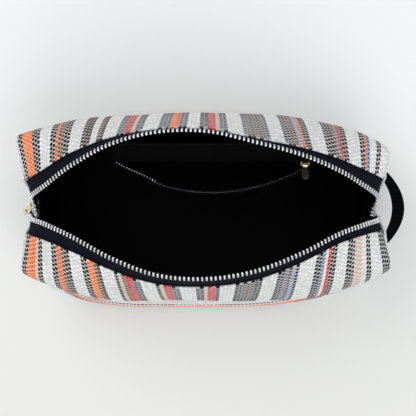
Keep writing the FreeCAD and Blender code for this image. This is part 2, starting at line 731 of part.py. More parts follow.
def pocket_sheet(upper, lower, thickness, bulge=0.0):
    """A thin cloth solid between two rows of points, with its thickness along Y."""
    rows = len(upper)

    def surface(u, v):
        place = u * (rows - 1)
        i = min(int(place), rows - 2)
        top = mix(upper[i], upper[i + 1], place - i)
        foot = mix(lower[i], lower[i + 1], place - i)
        return mix(top, foot, v) + Vector(0, -bulge * math.sin(math.pi * v), 0)

    return slab(surface, (-thickness / 2, thickness / 2), Vector(0, -1, 0), rows, 5)


def raised(points, y, z):
    """Points moved by a little."""
    return [point + Vector(0, y, z) for point in points]


def pocket_cloth():
    """The pocket's facing, panel and tapes, by node name."""
    upper_foot = POCKET_ZIP_RISE - POCKET_TOOTH_TUCK
    upper_edge = pocket_curve(0.0, upper_foot + POCKET_UPPER_TAPE)
    upper_tape = pocket_curve(0.0, upper_foot)
    lower_tape = pocket_curve(POCKET_SAG, -POCKET_ZIP_RISE - POCKET_LOWER_TAPE)
    lower_edge = raised(lower_tape, 0.0, -POCKET_LOWER_TAPE)
    facing_foot = raised(upper_edge, POCKET_SEAM_GAP, POCKET_SEAM_GAP)
    tapes = [
        pocket_sheet(upper_edge, upper_tape, POCKET_TAPE),
        pocket_sheet(lower_tape, raised(lower_edge, 0.0, POCKET_SEAM_GAP), POCKET_TAPE),
    ]
    return {
        "pocket_facing": pocket_sheet(pocket_seam(POCKET_TOP), facing_foot, POCKET_CLOTH),
        "pocket_panel": pocket_sheet(lower_edge, pocket_seam(POCKET_FOOT), POCKET_CLOTH, POCKET_BULGE),
        "pocket_zip_tapes": Part.makeCompound(tapes),
    }


def pocket_tooth(share, sag, rise, height):
    """One tooth on a pocket lip, standing up from rise."""
    tooth = Part.makeBox(TOOTH_PITCH * POCKET_SCALE / 2, POCKET_TOOTH_DEPTH, height)
    tooth.translate(pocket_lip_point(share, sag, rise) - Vector(0, POCKET_TOOTH_DEPTH / 2, 0))
    return tooth


def pocket_teeth():
    """Both rows of the pocket's teeth, by node name."""
    free_half = POCKET_HALF_X - POCKET_END_FREE
    pitch = TOOTH_PITCH * POCKET_SCALE
    upper, lower = [], []
    for i in range(int(2 * free_half / pitch)):
        share = (i * pitch - free_half) / POCKET_HALF_X
        lower_foot = -POCKET_ZIP_RISE - POCKET_LOWER_TAPE + POCKET_TOOTH_TUCK
        upper.append(pocket_tooth(share, 0.0, POCKET_UPPER_TOOTH_Z, POCKET_TOOTH_DEPTH))
        lower.append(pocket_tooth(share, POCKET_SAG, lower_foot, POCKET_LOWER_TOOTH))
    return {
        "pocket_teeth_upper": Part.makeCompound(upper),
        "pocket_teeth_lower": Part.makeCompound(lower),
    }


def handle_outline(points, z, inset):
    """A closed band on the floor plan: an outer edge through mirrored points, and a parallel inner edge."""
    outer_points = [Vector(x, -y, z) for x, y in points]
    outer_points += [Vector(x, y, z) for x, y in reversed(points[:-1])]
    inner_points = [p - Vector(inset, 0, 0) for p in outer_points]
    edges = []
    for line in (outer_points, inner_points):
        curve = Part.BSplineCurve()
        curve.interpolate(line)
        edges.append(curve.toShape())
    for i in (0, -1):
        edges.append(Part.makeLine(outer_points[i], inner_points[i]))
    return Part.Wire(Part.__sortEdges__(edges))


def handle_parts():
    """The handle's free span, and its two sewn ends as a separate group."""
    half = HANDLE_WIDTH / 2
    foot = handle_outline(HANDLE_FOOT, HANDLE_Z - half, HANDLE_THICK)
    top = handle_outline(HANDLE_TOP, HANDLE_Z + half, HANDLE_THICK)
    whole = Part.makeLoft([foot, top], True)
    length, height = HANDLE_CUT_SIZE
    blocks = []
    for free_half in (HANDLE_FREE_Y, HANDLE_FREE_Y + GAP):
        corner = Vector(HANDLE_CUT_X, -free_half, 0)
        blocks.append(Part.makeBox(length, 2 * free_half, height, corner))
    return whole.common(blocks[0]), whole.cut(blocks[1])


def middle_nodes():
    """The leaning middle of each wall, by node name."""
    limit = FLEX * CREST_ANGLE - FLEX_TEETH_END
    nodes = {}
    for name, side in (("front", FRONT), ("back", BACK)):
        nodes[f"{name}_panel"] = wall_layer(side, flex_range(), OUTER, True)
        nodes[f"{name}_interlining"] = wall_layer(side, flex_range(), INTERLINING, True)
        nodes[f"{name}_lining"] = wall_layer(side, flex_range(), LINING, True)
        nodes[f"{name}_zip_tape"] = tape_strip(side, flex_range(), True)
        nodes[f"{name}_zip_teeth"] = teeth(side, 0, limit, (LEFT, RIGHT), True)
    return nodes


def end_teeth(end):
    """All the teeth of one fixed end: along both rims, then down both sides of the notch."""
    start = FLEX * CREST_ANGLE + FIXED_TEETH_START
    solids = []
    for side in (FRONT, BACK):
        solids += teeth(side, start, CREST_ANGLE - CREST_FREE, (end,)).Solids
    for side in (FRONT, BACK):
        solids += teeth(side, NOTCH_ANGLES[0] + NOTCH_TEETH_START, CHAIN_FOOT[end], (end,)).Solids
    return Part.makeCompound(solids)


def end_nodes():
    """The fixed ends, by node name."""
    nodes = {}
    for name, end in (("left", LEFT), ("right", RIGHT)):
        nodes[f"{name}_end_panel"] = end_layer(end, OUTER)
        nodes[f"{name}_end_interlining"] = end_layer(end, INTERLINING)
        nodes[f"{name}_end_lining"] = end_layer(end, LINING)
        strips = [tape_strip(side, end_range(end)) for side in (FRONT, BACK)]
        strips += [notch_tape(end, side) for side in (FRONT, BACK)]
        nodes[f"{name}_zip_tapes"] = Part.makeCompound(strips)
        nodes[f"{name}_zip_teeth"] = end_teeth(end)
        nodes[f"{name}_zip_tail"] = zip_tail(end)
    return nodes


def base_nodes():
    """The base's layers, by node name."""
    return {
        "base_panel": base_layer(OUTER),
        "base_stiffener": base_tray(INTERLINING, BASE_WIDEST_Z + STIFFENER_RISE),
        "base_lining": base_layer(LINING),
    }


def slider_nodes():
    """Both sliders with their bridges and pulls, by node name."""
    body, bridge = slider_body(), slider_bridge()
    pocket_at = Vector(POCKET_MID_X + POCKET_HALF_X - POCKET_SLIDER_IN, POCKET_Y, POCKET_Z)
    return {
        "main_slider": placed(body, MAIN_SLIDER_AT, main_turn()),
        "main_slider_bridge": placed(bridge, MAIN_SLIDER_AT, main_turn()),
        "main_pull": placed(slider_pull(), MAIN_SLIDER_AT, main_turn()),
        "pocket_slider": placed(body, pocket_at, pocket_turn(), POCKET_SCALE),
        "pocket_slider_bridge": placed(bridge, pocket_at, pocket_turn(), POCKET_SCALE),
        "pocket_pull": placed(pocket_pull(), pocket_at, pocket_turn()),
    }


def handle_nodes():
    """The handle's free span and its sewn ends, by node name."""
    span, ends = handle_parts()
    return {"side_handle": span, "side_handle_ends": ends}


def main():
    os.makedirs("parts", exist_ok=True)
    makers = (middle_nodes, end_nodes, base_nodes, slider_nodes, pocket_cloth, pocket_teeth, handle_nodes)
    for maker in makers:
        for name, shape in maker().items():
            shape.exportStep(f"parts/{name}.step")


main()
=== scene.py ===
"""Looks of a zipped makeup bag that lies open: handwoven striped cloth over interlining and black lining,
a nickel zip over the top and down both ends, a zipped inner pocket and a webbing side handle.

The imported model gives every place. Lengths below are millimetres at the part's own size; point arrays are
in millimetres and become metres when a mesh is made.
"""

import math

import bmesh
import bpy
import numpy as np
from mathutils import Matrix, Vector


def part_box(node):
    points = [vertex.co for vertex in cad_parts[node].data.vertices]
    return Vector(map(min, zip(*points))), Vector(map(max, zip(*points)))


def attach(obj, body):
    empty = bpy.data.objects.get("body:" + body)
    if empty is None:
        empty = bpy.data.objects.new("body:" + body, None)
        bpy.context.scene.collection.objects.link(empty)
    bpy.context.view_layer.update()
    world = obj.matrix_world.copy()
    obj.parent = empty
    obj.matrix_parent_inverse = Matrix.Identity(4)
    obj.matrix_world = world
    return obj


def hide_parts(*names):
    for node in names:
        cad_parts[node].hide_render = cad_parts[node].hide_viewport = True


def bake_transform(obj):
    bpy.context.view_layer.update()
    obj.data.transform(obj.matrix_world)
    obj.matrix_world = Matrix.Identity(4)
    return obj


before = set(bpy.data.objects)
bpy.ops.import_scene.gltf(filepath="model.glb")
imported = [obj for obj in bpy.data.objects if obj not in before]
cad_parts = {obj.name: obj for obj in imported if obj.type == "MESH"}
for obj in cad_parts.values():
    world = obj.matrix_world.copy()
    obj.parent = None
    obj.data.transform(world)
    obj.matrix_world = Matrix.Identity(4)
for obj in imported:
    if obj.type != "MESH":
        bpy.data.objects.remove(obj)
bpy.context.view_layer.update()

MM = 0.001
FRONT, BACK = -1, 1
LEFT, RIGHT = -1, 1
SIDES = {"front": FRONT, "back": BACK}
ENDS = {"left": LEFT, "right": RIGHT}


def node_box(name):
    """Lowest and highest corner of a CAD node, in millimetres."""
    low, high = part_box(name)
    return np.array(low) / MM, np.array(high) / MM


# Driving dimensions: the shell's plan and rims
base_high = node_box("base_panel")[1]
BASE_X = base_high[0]
BASE_MID_Y = {FRONT: base_high[1] + 1.8, BACK: base_high[1] - 2.5}
RIM_TOP_Z = node_box("front_zip_tape")[1][2] + 1.3
CORNERS = {
    (FRONT, LEFT): (111.0, 37.5),
    (BACK, LEFT): (114.0, 43.0),
    (FRONT, RIGHT): (108.5, 35.0),
    (BACK, RIGHT): (107.5, 34.0),
}
CORNER_Z = 74.0
BASE_END_Y = {FRONT: 47.0, BACK: 44.5}
BASE_FULLNESS = {(FRONT, LEFT): 5.0, (FRONT, RIGHT): 2.7, (BACK, LEFT): 3.2, (BACK, RIGHT): 2.2}
BASE_CORNER = 6.0
BASE_WIDEST_Z = 5.0
BASE_FOOT_INSET = 3.0
BASE_SEAM_Z = 19.0
SEAM_INSET = 6.5
SEAM_X = BASE_X - 2.0
END_SEAM_Z = 45.0
SHOULDER_MID = {FRONT: (51.5, 84.0), BACK: (49.5, 80.0)}
BELLY = {FRONT: 1.8, BACK: 5.8}
DRAW_IN_FOOT = 4.8  # how far an end is drawn in along its middle, at the base seam
DRAW_IN_TOP = 2.4
MOUTH_X = {LEFT: 109.3, RIGHT: 105.0}
RIM_DROP = 57.0
RIM_STOPS = (-90, -75, -60, -45, -30, -15, 0, 15, 30, 45, 60, 75, 90)  # degrees along each rim's arch
RIM_REACH = {  # how far each rim lies from the mouth's middle line at those stops
    FRONT: (1.0, 5.6, 9.4, 16.9, 28.8, 38.3, 40.2, 35.8, 26.2, 15.4, 9.6, 6.2, 1.0),
    BACK: (1.0, 6.2, 13.2, 25.3, 36.8, 43.3, 43.5, 37.5, 30.9, 22.2, 13.0, 6.2, 1.0),
}
CREST_ANGLE = 74.0
FAN = 1.14  # spread of the threads at the middle of a wall
BEND_MID, BEND_END = 30.0, 8.0  # reach of the shoulder's bend at a wall's middle and at its ends
CORNER_LAP = 2.0  # how far the ends' sheets stop short of the walls' outer face
FLAP_DROP = 1.0
SEAM_GAP = 0.5
NOTCH_FOOT_HALF = 1.5
SAG_HEIGHT = 0.45
# From the teeth's line back to the folded fabric edge, at even stops from a wall's left to its right end
SETBACK_STOPS = (-1.0, -0.5, 0.0, 0.5, 1.0)
FABRIC_SETBACK = {FRONT: (9.8, 10.3, 11.6, 6.6, 6.8), BACK: (10.0, 9.3, 4.5, 8.0, 11.0)}
TAPE_TUCK = 3.0
TOOTH_SHIFT = -1.0  # the teeth's line runs through the middle of the teeth

# Depths of the layers below the shell's outer face
OUTER = (0.0, 1.3)
INTERLINING = (1.7, 2.6)
LINING = (3.1, 3.5)
FLAP_OUTER = (OUTER[1], 2 * OUTER[1])  # under the wall's cloth, which is turned over it
FLAP_INTERLINING = (2.7, 3.2)
FLAP_LINING = (3.6, 4.0)
FLAP_INTERLINING_STOP = 0.84  # share of the way to the notch
TAPE = (1.5, 2.0)
TOOTH_DEPTH = 1.8

# Weave
COLUMN = 1.75  # width of one warp column
ROW = 1.25  # height of one weft row
RELIEF = 0.16
EDGE_ROLL = 3.0  # radius of the cloth's turn over each end
EDGE_TURN = 3.0  # how far it runs on after that turn
FACES_PER_COLUMN = 3
WALL_RUN = 104.0  # a wall's half length and its height, as lengths of cloth
WALL_RISE = 96.0
FLAP_RUN, FLAP_RISE = 30, 28
FELT_STEP = 3.5
LINING_SETBACK = 1.0  # the lining's edge stops this far before the cloth's


def mix(a, b, t):
    """The value or point a share t of the way from a to b."""
    return a + (b - a) * t


def smooth(x):
    """Smooth step from 0 to 1."""
    x = np.clip(x, 0, 1)
    return x * x * (3 - 2 * x)


def curve_through(stops, values, x):
    """A smooth curve through values at even stops."""
    values = np.array(values, float)
    slopes = np.gradient(values)
    place = np.clip((np.asarray(x, float) - stops[0]) / (stops[1] - stops[0]), 0, len(values) - 1)
    i = np.minimum(place.astype(int), len(values) - 2)
    s = place - i
    start, end = values[i], values[i + 1]
    cubic = start * (1 + 2 * s) * (1 - s) ** 2 + end * (3 - 2 * s) * s**2
    return cubic + slopes[i] * s * (1 - s) ** 2 - slopes[i + 1] * (1 - s) * s**2


def unit(v):
    return v / np.maximum(np.linalg.norm(v, axis=-1, keepdims=True), 1e-9)


def points(x, y, z):
    """An array of points from arrays of coordinates."""
    return np.stack(np.broadcast_arrays(x, y, z), axis=-1).astype(float)


def by_end(c, values):
    """The left or right value, by the sign of c."""
    return np.where(c > 0, values[RIGHT], values[LEFT])


# ---------------------------------------------------------------- the shell's surfaces


def arch_point(side, angle):
    """The teeth's line before its feet are twisted: angle 0 mid-mouth, +-90 at a notch's foot."""
    along = np.sin(np.radians(angle))
    reach = curve_through(RIM_STOPS, RIM_REACH[side], angle)
    drop = RIM_DROP * (1 - np.cos(np.radians(angle)))
    return points(by_end(along, MOUTH_X) * along, side * reach, RIM_TOP_Z - drop)


def spread(c):
    """How the threads fan out from the short zip edge to the longer base."""
    return FAN * c - (FAN - 1) * c**3


def crown(c):
    """1 over most of a wall's middle, 0 at its ends."""
    return 1 - np.abs(c) ** 3


def base_half_width(side, x):
    """Half of the base's width on one side, where it is widest."""
    share = np.minimum(1.0, np.abs(x / BASE_X))
    fullness = by_end(x, {end: BASE_FULLNESS[side, end] for end in (LEFT, RIGHT)})
    return mix(BASE_MID_Y[side], BASE_END_Y[side], share**fullness)


def wall_line(side, c):
    """Thread line c as foot, start of the bend, shoulder, end of the bend and rim."""
    x = SEAM_X * spread(c)
    foot = points(x, side * (base_half_width(side, x) - SEAM_INSET), BASE_SEAM_Z)
    corner_x = by_end(c, {end: CORNERS[side, end][0] for end in (LEFT, RIGHT)})
    corner_y = by_end(c, {end: CORNERS[side, end][1] for end in (LEFT, RIGHT)})
    mid_y, mid_z = SHOULDER_MID[side]
    rise = crown(c)
    shoulder = points(corner_x * spread(c), side * mix(corner_y, mid_y, rise), mix(CORNER_Z, mid_z, rise))
    rim = arch_point(side, c * CREST_ANGLE)
    below, above = foot - shoulder, rim - shoulder
    above_length = np.linalg.norm(above, axis=-1)
    bend = mix(BEND_MID, BEND_END, np.minimum(1.0, np.abs(c) * 1.1))
    bend = np.minimum(bend, 0.8 * above_length)[..., None]
    return foot, shoulder + unit(below) * bend, shoulder, shoulder + unit(above) * bend, rim


def line_lengths(line):
    """Lengths of the straight wall, the bend and the straight top of thread lines."""
    foot, start, shoulder, end, rim = line

    def length(a, b):
        return np.linalg.norm(b - a, axis=-1)

    bend = 0.5 * (length(start, end) + length(start, shoulder) + length(shoulder, end))
    return length(foot, start), bend, length(end, rim)


def sag(side, x, height):
    """Soft unevenness of the cloth: a few slow waves, none of them near the rim or the base seam."""
    waves = np.sin(x / 17.0 + side * 1.3) + 0.7 * np.sin(x / 9.3 + height * 4.0 + side)
    waves = waves + 0.5 * np.sin(height * 9 - x / 23.0)
    return SAG_HEIGHT * waves * np.sin(np.pi * np.clip(height, 0, 1)) ** 1.5


def wall_point(side, c, t):
    """A point of the outer face, from the base seam at t = 0 to the teeth's line at t = 1."""
    line = wall_line(side, c)
    foot, start, shoulder, end, rim = line
    wall, bend, top = line_lengths(line)
    run = t * (wall + bend + top)
    s = np.clip((run - wall) / bend, 0, 1)[..., None]
    curve = mix(mix(start, shoulder, s), mix(shoulder, end, s), s)
    below = mix(foot, start, (run / wall)[..., None])
    above = mix(end, rim, ((run - wall - bend) / top)[..., None])
    point = np.where((run <= wall)[..., None], below, np.where((run < wall + bend)[..., None], curve, above))
    bow = BELLY[side] * crown(c) * np.sin(np.pi * np.minimum(1.0, run / (wall + bend)))
    point[..., 1] += side * (bow + sag(side, point[..., 0], run / (wall + bend)))
    return point


def column_length(side, c):
    return sum(line_lengths(wall_line(side, c)))


def fabric_setback(side, c):
    """From the teeth's line back to the folded fabric edge."""
    return curve_through(SETBACK_STOPS, FABRIC_SETBACK[side], c)


def short_of_rim(side, c, distance):
    """The t that lies a distance before the teeth's line."""
    return 1 - distance / column_length(side, c)


def end_rise(z):
    """Share of the way up an end, from the base seam to the box corners."""
    return np.clip((z - BASE_SEAM_Z) / (CORNER_Z - BASE_SEAM_Z), 0, 1)


def corner_y(end, side, z):
    """Half of an end's width on one side, at a height."""
    foot = float(base_half_width(side, np.array(end * SEAM_X))) - SEAM_INSET
    return mix(foot, CORNERS[side, end][1], end_rise(z)) - CORNER_LAP


def end_face_x(end, y, z):
    """The end is drawn in along its middle, most at the top."""
    front, back = corner_y(end, FRONT, z), corner_y(end, BACK, z)
    across = np.clip((y + front) / (front + back), 0, 1)
    corner_x = mix(CORNERS[FRONT, end][0], CORNERS[BACK, end][0], across)
    draw_in = mix(DRAW_IN_FOOT, DRAW_IN_TOP, end_rise(z)) * 4 * across * (1 - across)
    return end * (mix(SEAM_X, corner_x, end_rise(z)) - draw_in)


def flap_point(end, side, a, b):
    """Upper half of an end, from the box corner (a = 0) to the notch, and from the top edge (b = 0) down."""
    one = np.array(float(end))
    edge = wall_point(side, one, short_of_rim(side, one, fabric_setback(side, one)))
    z = mix(mix(CORNER_Z, edge[2], a) - FLAP_DROP, END_SEAM_Z + SEAM_GAP, b)
    notch = mix(abs(edge[1]), NOTCH_FOOT_HALF, b)
    y = side * mix(corner_y(end, side, z), notch, a)
    return points(end_face_x(end, y, z), y, z)


# ---------------------------------------------------------------- meshes


def normals(grid, outward):
    """Unit normals of a grid of points, turned to point outward."""
    n = unit(np.cross(np.gradient(grid, axis=0), np.gradient(grid, axis=1)))
    flip = np.where((n @ np.array(outward, float)) < 0, -1.0, 1.0)
    return n * flip[..., None]


def mesh_object(name, verts, faces, uv=None, smooth_shade=True):
    """A mesh from points in millimetres; uv has one pair per point."""
    mesh = bpy.data.meshes.new(name)
    mesh.from_pydata((np.asarray(verts, float) * MM).tolist(), [], faces)
    if uv is not None:
        layer = mesh.uv_layers.new(name="weave")
        corner = np.zeros(len(mesh.loops), np.int32)
        mesh.loops.foreach_get("vertex_index", corner)
        layer.data.foreach_set("uv", np.asarray(uv, np.float32)[corner].ravel())
    bm = bmesh.new()
    bm.from_mesh(mesh)
    bmesh.ops.recalc_face_normals(bm, faces=bm.faces)
    bm.to_mesh(mesh)
    bm.free()
    mesh.polygons.foreach_set("use_smooth", [smooth_shade] * len(mesh.polygons))
    obj = bpy.data.objects.new(name, mesh)
    bpy.context.scene.collection.objects.link(obj)
    return obj


def closed_sheet(outer, inner, uv):
    """Vertices, faces and uv of a closed sheet between two grids, rounded at its first and last rows."""
    half = np.linalg.norm(outer - inner, axis=-1)[:, :1] * 0.5

    def round_edge(last, before):
        middle = (outer[:, last] + inner[:, last]) / 2
        return middle + unit(outer[:, last] - outer[:, before]) * half

    rings = [outer, round_edge(-1, -2)[:, None], inner[:, ::-1], round_edge(0, 1)[:, None]]
    loop = np.concatenate(rings, axis=1)
    loop_uv = np.concatenate([uv, uv[:, -1:], uv[:, ::-1], uv[:, :1]], axis=1)
    columns, length = loop.shape[:2]
    index = np.arange(columns * length).reshape(columns, length)
    around = np.roll(index, -1, axis=1)
    quads = np.stack([index[:-1], index[1:], around[1:], around[:-1]], axis=-1).reshape(-1, 4)
    faces = quads.tolist()
    rows = outer.shape[1]
    for column in (index[0], index[-1]):
        for j in range(rows - 1):
            corners = (j, j + 1, 2 * rows - j - 1, 2 * rows - j)
            faces.append([int(column[k]) for k in corners])
        faces.append([int(column[rows - 1]), int(column[rows]), int(column[rows + 1])])
        faces.append([int(column[0]), int(column[2 * rows]), int(column[2 * rows + 1])])
    return loop.reshape(-1, 3), faces, loop_uv.reshape(-1, 2)


def joined(parts):
    """Several (vertices, faces, uv) as one."""
    verts, faces, uvs, start = [], [], [], 0
    for v, f, uv in parts:
        verts.append(v)
        uvs.append(uv)
        faces += [[i + start for i in face] for face in f]
        start += len(v)
    return np.concatenate(verts), faces, np.concatenate(uvs)


def weave_relief(u, v):
    """Height of the woven surface: each float bulges, and neighbours alternate."""
    across = np.abs(u - np.floor(u) - 0.5) * 2
    swell = np.cos(2 * np.pi * (v / 2 + 0.5 * (np.floor(u) % 2)) - 0.6 * np.pi)
    return RELIEF * ((1 - across**4) * (0.6 + 0.4 * swell) - 0.6)


def wall_grid(side, end, extra_setback, column_step, row_step):
    """Outer face of one quarter of the wall, its normals, and its weave coordinates.

    The grid runs from the middle to the end, turns over the end's edge and runs on a little.
    """
    edge_c = 1 - EDGE_ROLL / WALL_RUN
    edge_u = edge_c * WALL_RUN
    flat = np.arange(0, edge_u, column_step)
    turn = np.linspace(edge_u, edge_u + EDGE_ROLL * math.pi / 2, max(5, int(5 / column_step)))
    beyond = turn[-1] + np.linspace(0, EDGE_TURN, max(3, int(EDGE_TURN / column_step)))[1:]
    u = np.concatenate([flat, turn, beyond])
    rows = max(6, int(WALL_RISE / row_step))
    c = end * np.minimum(u / WALL_RUN, edge_c)
    top = short_of_rim(side, c, fabric_setback(side, c) + extra_setback)
    t = np.linspace(0.004, 1, rows)[None, :] * top[:, None]
    c2 = np.broadcast_to(c[:, None], t.shape)
    grid = wall_point(side, c2, t)
    n = normals(grid, (0, side, 0.6))
    edge = len(flat)
    lengthwise = unit(grid[edge] - grid[edge - 2])
    across = unit(lengthwise - n[edge] * np.sum(lengthwise * n[edge], -1, keepdims=True))
    for i in range(edge, len(u)):
        angle = min((u[i] - u[edge]) / EDGE_ROLL, math.pi / 2)
        run_on = max(0.0, u[i] - u[edge] - EDGE_ROLL * math.pi / 2)
        grid[i] = grid[edge] if i == edge else grid[edge] + (
            across * EDGE_ROLL * math.sin(angle) - n[edge] * (EDGE_ROLL * (1 - math.cos(angle)) + run_on)
        )
        n[i] = n[edge] * math.cos(angle) + across * math.sin(angle)
    v = t * column_length(side, c)[:, None]
    return grid, n, np.stack([np.broadcast_to(end * u[:, None] / COLUMN, v.shape), v / ROW], axis=-1)


def wall_sheet(side, end, depths, extra_setback, column_step, row_step, relief=False):
    grid, n, uv = wall_grid(side, end, extra_setback, column_step, row_step)
    outer = grid - n * depths[0]
    if relief:
        outer = outer + n * weave_relief(uv[..., 0], uv[..., 1])[..., None]
    return closed_sheet(outer, grid - n * depths[1], uv)


def flap_sheet(side, end, depths, step, relief=False, notch_edge=1.0):
    """Upper half of one end, on one side of the notch."""
    a = np.linspace(-0.03, notch_edge, max(6, int(FLAP_RUN / step)))
    b = np.linspace(0.02, 1.0, max(6, int(FLAP_RISE / step)))
    grid = flap_point(end, side, a[:, None], b[None, :])
    n = normals(grid, (end, 0, 0))
    top = grid[:, :1, 2]
    u = end * (WALL_RUN + 2.0 + top - grid[..., 2]) / COLUMN
    v = np.abs(grid[..., 1]) / ROW
    outer = grid - n * depths[0]
    if relief:
        outer = outer + n * weave_relief(u, v)[..., None]
    return closed_sheet(outer, grid - n * depths[1], np.stack([u, v], axis=-1))


CORNER_SEWN_C = 0.93  # thread line where the lining leaves the wall to round the corner
CORNER_SEWN_SHARE = 0.86  # share of an end's half width where it meets the end
CORNER_SEWN_TOP = 65.0
CORNER_SEWN_DEPTH = 4.4


def corner_lining(side, end):
    """The lining rounds off the corners between a wall and an end, inside all the other layers."""
    c = np.full(40, end * CORNER_SEWN_C)
    t = np.linspace(0.004, 1, 40) * short_of_rim(side, c, fabric_setback(side, c) + LINING_SETBACK)
    pair = np.stack([wall_point(side, c - end * 0.01, t), wall_point(side, c, t)])
    on_wall = pair[1] - normals(pair, (0, side, 0.6))[1] * CORNER_SEWN_DEPTH
    z = np.minimum(on_wall[:, 2], CORNER_SEWN_TOP)
    half = np.array([corner_y(end, side, height) for height in z]) * CORNER_SEWN_SHARE
    y = side * np.minimum(np.abs(on_wall[:, 1]), half)
    on_end = points(end_face_x(end, y, z) - end * CORNER_SEWN_DEPTH, y, z)
    share = np.linspace(0, 1, 4)[:, None, None]
    inner = mix(on_wall[None], on_end[None], share)
    outer = inner + normals(inner, (end, side, 0)) * (LINING[1] - LINING[0])
    uv = np.broadcast_to(np.stack([t, t], axis=-1)[None], (4, 40, 2))
    return closed_sheet(outer, inner, uv)


def ride_quarter(obj):
    """The quarter's placement is baked into its mesh; it is not attached to any body."""
    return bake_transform(obj)


# ---------------------------------------------------------------- materials


def lit(code, factor, lift=0.0):
    """Linear colour of a code, made lighter or darker."""
    return [min(1.0, part * factor + lift) for part in linear(code)[:3]] + [1.0]


def linear(code):
    """Linear colour of a six-digit sRGB code."""
    parts = [int(code[i : i + 2], 16) / 255 for i in (0, 2, 4)]
    return [p / 12.92 if p <= 0.04045 else ((p + 0.055) / 1.055) ** 2.4 for p in parts] + [1.0]


class Nodes:
    """A short way to write a material's nodes."""

    def __init__(self, name):
        self.material = bpy.data.materials.new(name)
        self.material.use_nodes = True
        self.tree = self.material.node_tree
        self.shader = self.tree.nodes["Principled BSDF"]

    def add(self, kind, inputs=None, **settings):
        made = self.tree.nodes.new(kind)
        for key, value in settings.items():
            setattr(made, key, value)
        for key, value in (inputs or {}).items():
            self.set(made.inputs[key], value)
        return made

    def set(self, socket, value):
        if isinstance(value, bpy.types.NodeSocket):
            self.tree.links.new(value, socket)
        else:
            socket.default_value = value

    def math(self, operation, a, b=0.0, c=0.0):
        return self.add("ShaderNodeMath", {0: a, 1: b, 2: c}, operation=operation).outputs[0]

    def blend(self, share, a, b, how="MIX"):
        made = self.add("ShaderNodeMix", data_type="RGBA", blend_type=how)
        self.set(made.inputs[0], share)
        self.set(made.inputs[6], a)
        self.set(made.inputs[7], b)
        return made.outputs[2]

    def ramp(self, value, low, high):
        """Value rescaled so that low gives 0 and high gives 1."""
        return self.add("ShaderNodeMapRange", {0: value, 1: low, 2: high}).outputs[0]

    def noise(self, scale, detail=2.0, vector=None):
        inputs = {"Scale": scale, "Detail": detail}
        if vector is None:
            vector = self.add("ShaderNodeTexCoord").outputs["Object"]
        inputs["Vector"] = vector
        return self.add("ShaderNodeTexNoise", inputs).outputs["Fac"]

    def bump(self, height, strength, distance, normal=None):
        inputs = {"Strength": strength, "Distance": distance, "Height": height}
        if normal is not None:
            inputs["Normal"] = normal
        return self.add("ShaderNodeBump", inputs).outputs["Normal"]

    def grey(self, value):
        return self.add("ShaderNodeCombineColor", {0: value, 1: value, 2: value}).outputs[0]

    def finish(self, **inputs):
        for key, value in inputs.items():
            self.set(self.shader.inputs[key.replace("_", " ")], value)
        return self.material


THREADS = {  # warp colour, weft colour, share of a row that the warp covers
    "w": ("e6e7e6", "d2d3d2", 0.55),
    "k": ("0c0d11", "d6d5d3", 0.72),
    "n": ("171d30", "c2c6cf", 0.70),
    "o": ("f0602a", "f6c3aa", 0.70),
    "s": ("e4583c", "e9c4b4", 0.74),
    "b": ("5a4238", "cdbcab", 0.62),
    "x": ("221c1c", "bba99f", 0.70),
    "c": ("c9b9a0", "d6d3cb", 0.60),
    "r": ("cb3647", "dca5a8", 0.78),
    "p": ("c84e60", "d7a3ab", 0.74),
    "d": ("1b1e26", "c6c8cb", 0.60),
    "g": ("343a44", "c9ccce", 0.58),
    "v": ("74768f", "bcbcc6", 0.60),
    "l": ("7ea4c6", "c5cbd2", 0.60),
    "z": ("1f6fa8", "9dbccd", 0.62),
    "f": ("e08d7c", "d6d5d0", 0.30),
}
# Warp columns of each wall from left to right, one letter for each column
STRIPES = {
    FRONT: (
        "wwkkoosocnkwwwwkkssbkkwwwwkkoobxwwwwkcbrpddwwwwdcppggwwwwddcp"
        "pdwwwwkdgbgkkwwwwkdvblkwwwwwkkvwrkkwwwwkkgfffwwkkwwwwwnkknww"
    ),
    BACK: (
        "wwkkoooonkkwwwwkksbbkkwwwwkxxwwbxwwwwggppcddwwwwgggosggwwwddp"
        "pcggwwwwggbgbggwwwwddbblskkwwwwwdkkbvrkkwwwwwkkszwwwkkwwwwgww"
    ),
}
FIRST_COLUMN = -60
BEYOND = "wwwwwwwwkkww"  # the columns that go on over the ends


def stripe_letter(side, column):
    """The letter of a warp column; beyond the wall's own stripes, a plain stretch goes on."""
    text = STRIPES[side]
    place = column - FIRST_COLUMN
    if 0 <= place < len(text):
        return text[place]
    return BEYOND[(abs(column) + FIRST_COLUMN) % len(BEYOND)]


def colour_columns(obj, letter_of):
    """Gives each face its column's thread colours, as attributes that the weave material reads."""
    mesh = obj.data
    uv = np.zeros(len(mesh.loops) * 2, np.float32)
    mesh.uv_layers["weave"].data.foreach_get("uv", uv)
    starts = np.zeros(len(mesh.polygons), np.int32)
    totals = np.zeros(len(mesh.polygons), np.int32)
    mesh.polygons.foreach_get("loop_start", starts)
    mesh.polygons.foreach_get("loop_total", totals)
    order = np.argsort(starts)
    sums = np.zeros(len(starts))
    sums[order] = np.add.reduceat(uv[::2], starts[order])
    columns = np.floor(sums / totals).astype(int)
    count = len(columns)
    values = {"warp": np.zeros((count, 4)), "weft": np.zeros((count, 4)), "cover": np.zeros(count)}
    for column in np.unique(columns):
        warp, weft, cover = THREADS[letter_of(int(column))]
        here = columns == column
        values["warp"][here] = linear(warp)
        values["weft"][here] = linear(weft)
        values["cover"][here] = cover
    for name in ("warp", "weft"):
        attribute = mesh.attributes.new(name, "FLOAT_COLOR", "FACE")
        attribute.data.foreach_set("color", values[name].astype(np.float32).ravel())
    attribute = mesh.attributes.new("cover", "FLOAT", "FACE")
    attribute.data.foreach_set("value", values["cover"].astype(np.float32))


